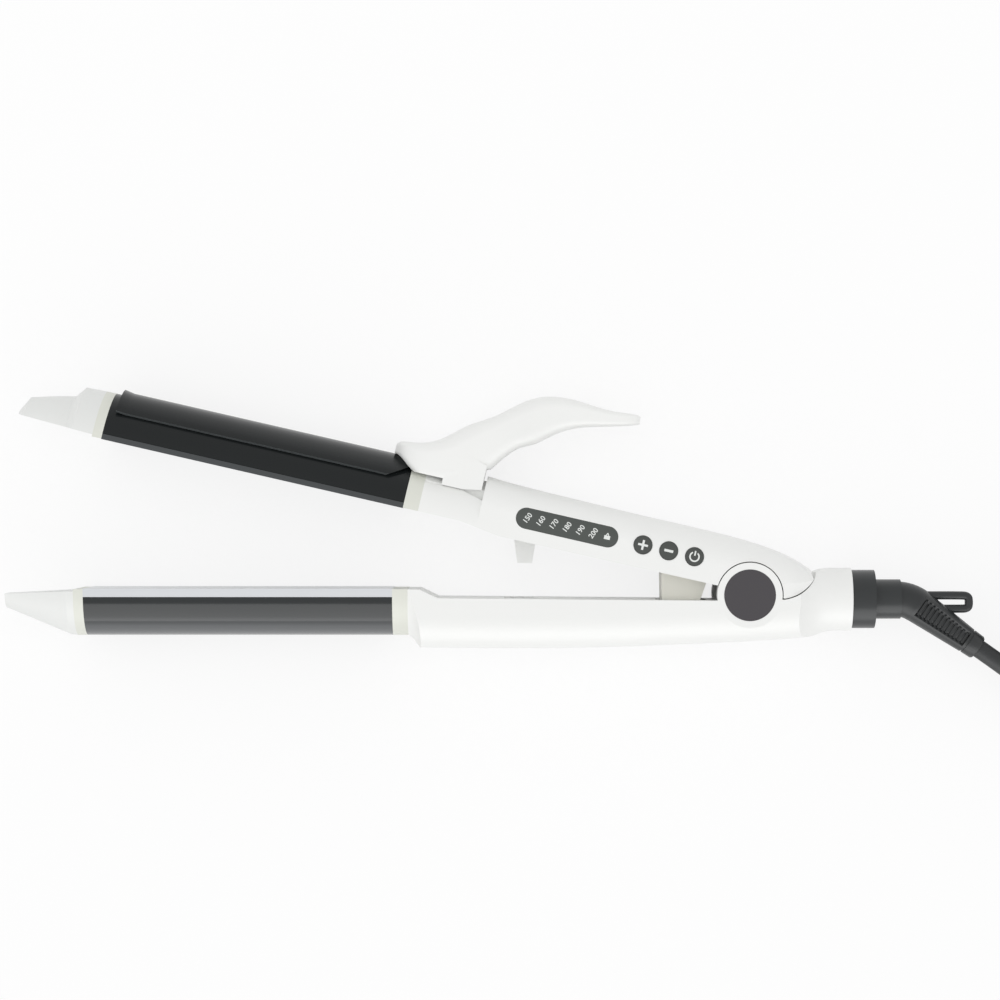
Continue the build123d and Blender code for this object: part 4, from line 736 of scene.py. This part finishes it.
def rib_tree(values, material):
    """Node tree that lays a row of narrowing ribs in each panel of the relief."""
    tree = bpy.data.node_groups.new("relief_ribs", "GeometryNodeTree")
    face = tree.interface
    face.new_socket("Geometry", in_out="INPUT", socket_type="NodeSocketGeometry")
    for name, value in values.items():
        kind = "NodeSocketInt" if isinstance(value, int) else "NodeSocketFloat"
        face.new_socket(name, in_out="INPUT", socket_type=kind).default_value = value
    face.new_socket("Geometry", in_out="OUTPUT", socket_type="NodeSocketGeometry")
    given = add_node(tree, "NodeGroupInput")
    result = add_node(tree, "NodeGroupOutput")
    row = add_node(tree, "GeometryNodeMeshLine")
    offset = add_node(tree, "ShaderNodeCombineXYZ")
    start = add_node(tree, "ShaderNodeCombineXYZ")
    size = add_node(tree, "ShaderNodeCombineXYZ")
    rib = add_node(tree, "GeometryNodeMeshCube", {"Vertices Y": RIB_POINTS})
    lay = add_node(tree, "GeometryNodeInstanceOnPoints")
    number = add_node(tree, "GeometryNodeInputIndex")
    share = math_node(tree, "DIVIDE")
    shrink = math_node(tree, "MULTIPLY")
    left = math_node(tree, "SUBTRACT", {0: 1.0})
    scale = add_node(tree, "ShaderNodeCombineXYZ", {"X": 1.0, "Z": 1.0})
    sink = add_node(tree, "GeometryNodeSetPosition")
    fall = add_node(tree, "ShaderNodeCombineXYZ")
    descent = math_node(tree, "MULTIPLY", {1: RIB_DESCENT})
    turned = add_node(tree, "GeometryNodeTransform", {"Rotation": (math.pi, 0, 0)})
    joined = add_node(tree, "GeometryNodeJoinGeometry")
    real = add_node(tree, "GeometryNodeRealizeInstances")
    painted = add_node(tree, "GeometryNodeSetMaterial", {"Material": material})
    wire(
        tree,
        (given, "Pitch", offset, "X"),
        (given, "Level", start, "Z"),
        (given, "Count", row, "Count"),
        (start, "Vector", row, "Start Location"),
        (offset, "Vector", row, "Offset"),
        (given, "Thickness", size, "X"),
        (given, "Width", size, "Y"),
        (given, "Thickness", size, "Z"),
        (size, "Vector", rib, "Size"),
        (number, "Index", share, 0),
        (given, "Count", share, 1),
        (share, "Value", shrink, 0),
        (given, "Narrowing", shrink, 1),
        (shrink, "Value", left, 1),
        (left, "Value", scale, "Y"),
        (share, "Value", descent, 0),
        (descent, "Value", fall, "Z"),
        (row, "Mesh", sink, "Geometry"),
        (fall, "Vector", sink, "Offset"),
        (sink, "Geometry", lay, "Points"),
        (rib, "Mesh", lay, "Instance"),
        (scale, "Vector", lay, "Scale"),
        (lay, "Instances", turned, "Geometry"),
        (given, "Geometry", joined, "Geometry"),
        (lay, "Instances", joined, "Geometry"),
        (turned, "Geometry", joined, "Geometry"),
        (joined, "Geometry", real, "Geometry"),
        (real, "Geometry", painted, "Geometry"),
        (painted, "Geometry", result, "Geometry"),
    )
    return tree


def rib_rows(name, count, material):
    """Both rows of ribs as one mesh, about the relief's axis and in its place."""
    values = {
        "Count": count,
        "Pitch": (RELIEF_PANEL[1] - RELIEF_PANEL[0]) * MM / count,
        "Width": RIB_WIDTH,
        "Thickness": RIB_THICKNESS,
        "Level": RIB_LEVEL,
        "Narrowing": RIB_NARROWING,
    }
    holder = linked(name + "_row", bpy.data.meshes.new(name + "_row"))
    tree = rib_tree(values, material)
    modifier = holder.modifiers.new("ribs", "NODES")
    modifier.node_group = tree
    for socket in tree.interface.items_tree:
        if socket.name in values:
            modifier[socket.identifier] = values[socket.name]
    first = RELIEF_CORNER + RELIEF_HEADING * (RELIEF_PANEL[0] + RIB_INSET) * MM
    return plain_mesh(holder, name, Matrix.Translation(first) @ Matrix.Rotation(-RELIEF_ANGLE, 4, "Z"))


def hang_loop(name):
    """The round loop moulded on beside the relief."""
    points = [Vector((x * MM, LOOP_TOP + y * MM, MIDDLE)) for x, y in LOOP_ROUTE]
    return plain_mesh(spline_curve(name + "_line", points, LOOP_RADIUS), name)


class StylerRelief(bpy.types.Operator):
    """Ribbed bend and hang loop that turn with the cord"""

    bl_idname = "styler.relief"
    bl_label = "Strain relief"

    def execute(self, context):
        rubber = look("relief_rubber", settings().cord_colour)
        body = mesh_piece("relief_body", relief_body)
        ribs = rib_rows("relief_rows", settings().slit_count, rubber)
        relief = as_one([body, ribs, hang_loop("relief_loop")], "ribbed_relief")
        keep(relief, rubber)
        relief.data.set_sharp_from_angle(angle=RELIEF_CREASE)
        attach(relief, "cord_swivel")
        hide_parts("strain_relief")
        return {"FINISHED"}


# Stage

def soft_lamp(name, place, size, power, card=False):
    """A soft lamp aimed at the styler; a card is seen in glossy surfaces alone, the others never there."""
    data = bpy.data.lights.new(name, "AREA")
    data.shape = "RECTANGLE"
    data.size, data.size_y = size
    data.energy = power
    lamp = linked(name, data)
    lamp.location = place
    lamp.rotation_euler = (LAMP_TARGET - Vector(place)).to_track_quat("-Z", "Y").to_euler()
    lamp.visible_diffuse = not card
    lamp.visible_glossy = card


def floor_material():
    """White paper that glows for the camera and in mirrored views, so that it stays even."""
    material, tree = new_material("floor_white")
    paper = add_node(tree, "ShaderNodeBsdfDiffuse")
    place = add_node(tree, "ShaderNodeTexCoord")
    fibre = add_node(tree, "ShaderNodeTexNoise", {"Scale": FIBRE_SCALE})
    tone = add_node(tree, "ShaderNodeMapRange", {"To Min": FLOOR_TONES[0], "To Max": FLOOR_TONES[1]})
    glow = add_node(tree, "ShaderNodeEmission", {"Color": WHITE, "Strength": 1.0})
    ray = add_node(tree, "ShaderNodeLightPath")
    seen = math_node(tree, "MAXIMUM")
    share = math_node(tree, "MULTIPLY", {1: FLOOR_GLOW})
    blend = add_node(tree, "ShaderNodeMixShader")
    output = add_node(tree, "ShaderNodeOutputMaterial")
    wire(
        tree,
        (place, "Object", fibre, "Vector"),
        (fibre, "Fac", tone, "Value"),
        (tone, "Result", paper, "Color"),
        (ray, "Is Camera Ray", seen, 0),
        (ray, "Is Glossy Ray", seen, 1),
        (seen, "Value", share, 0),
        (share, "Value", blend, "Fac"),
        (paper, "BSDF", blend, 1),
        (glow, "Emission", blend, 2),
        (blend, "Shader", output, "Surface"),
    )
    return material


def studio_world():
    """A white surround, dimmer overhead and towards the upper arm's side."""
    world = bpy.data.worlds.new("studio")
    world.use_nodes = True
    tree = world.node_tree
    sky = tree.nodes["Background"]
    sky.inputs["Color"].default_value = WHITE
    way = add_node(tree, "ShaderNodeTexCoord")
    apart = add_node(tree, "ShaderNodeSeparateXYZ")
    height = add_node(tree, "ShaderNodeMapRange", {"To Min": SKY_HORIZON, "To Max": SKY_ZENITH})
    side = math_node(tree, "MULTIPLY_ADD", {1: SKY_SIDE})
    wire(
        tree,
        (way, "Generated", apart, "Vector"),
        (apart, "Z", height, "Value"),
        (apart, "Y", side, 0),
        (height, "Result", side, 2),
        (side, "Value", sky, "Strength"),
    )
    return world


class StylerStage(bpy.types.Operator):
    """Floor, lamps, world and the camera above the styler"""

    bl_idname = "styler.stage"
    bl_label = "Stage and camera"

    def execute(self, context):
        scene = context.scene
        lens = bpy.data.cameras.new("camera")
        lens.lens = CAMERA_LENS
        lens.sensor_width = CAMERA_SENSOR
        camera = linked("camera", lens)
        camera.location = CAMERA_PLACE
        scene.camera = camera
        floor = mesh_piece(
            "floor", lambda work: bmesh.ops.create_grid(work, x_segments=1, y_segments=1, size=FLOOR_HALF),
            Matrix.Translation((0, 0, -FLOOR_DROP)),
        )
        keep(floor, floor_material(), smooth=False)
        scene.world = studio_world()
        soft_lamp("key_lamp", KEY_PLACE, KEY_SIZE, settings().key_light)
        soft_lamp("low_card", CARD_PLACE, CARD_SIZE, settings().card_light, card=True)
        scene.view_settings.view_transform = "Standard"
        return {"FINISHED"}


class StylerPanel(bpy.types.Panel):
    """Lists the styler's pieces and settings"""

    bl_idname = "VIEW3D_PT_styler"
    bl_label = "Hair styler"
    bl_space_type = "VIEW_3D"
    bl_region_type = "UI"
    bl_category = "Styler"

    def draw(self, context):
        values = context.scene.styler
        for name in StylerSettings.__annotations__:
            self.layout.prop(values, name)
        for operator in OPERATORS:
            self.layout.operator(operator.bl_idname)


OPERATORS = [StylerStage, StylerCord, StylerShells, StylerBarrels, StylerInner, StylerControls, StylerRelief]
CLASSES = [StylerSettings, *OPERATORS, StylerPanel]


def register():
    """Make the settings, steps and panel known."""
    for kind in CLASSES:
        bpy.utils.register_class(kind)
    bpy.types.Scene.styler = PointerProperty(type=StylerSettings)


def unregister():
    """Take the settings, steps and panel away again."""
    del bpy.types.Scene.styler
    for kind in reversed(CLASSES):
        bpy.utils.unregister_class(kind)


def main():
    """Run every step."""
    register()
    for operator in OPERATORS:
        group, name = operator.bl_idname.split(".")
        getattr(getattr(bpy.ops, group), name)()


if __name__ == "__main__":
    main()
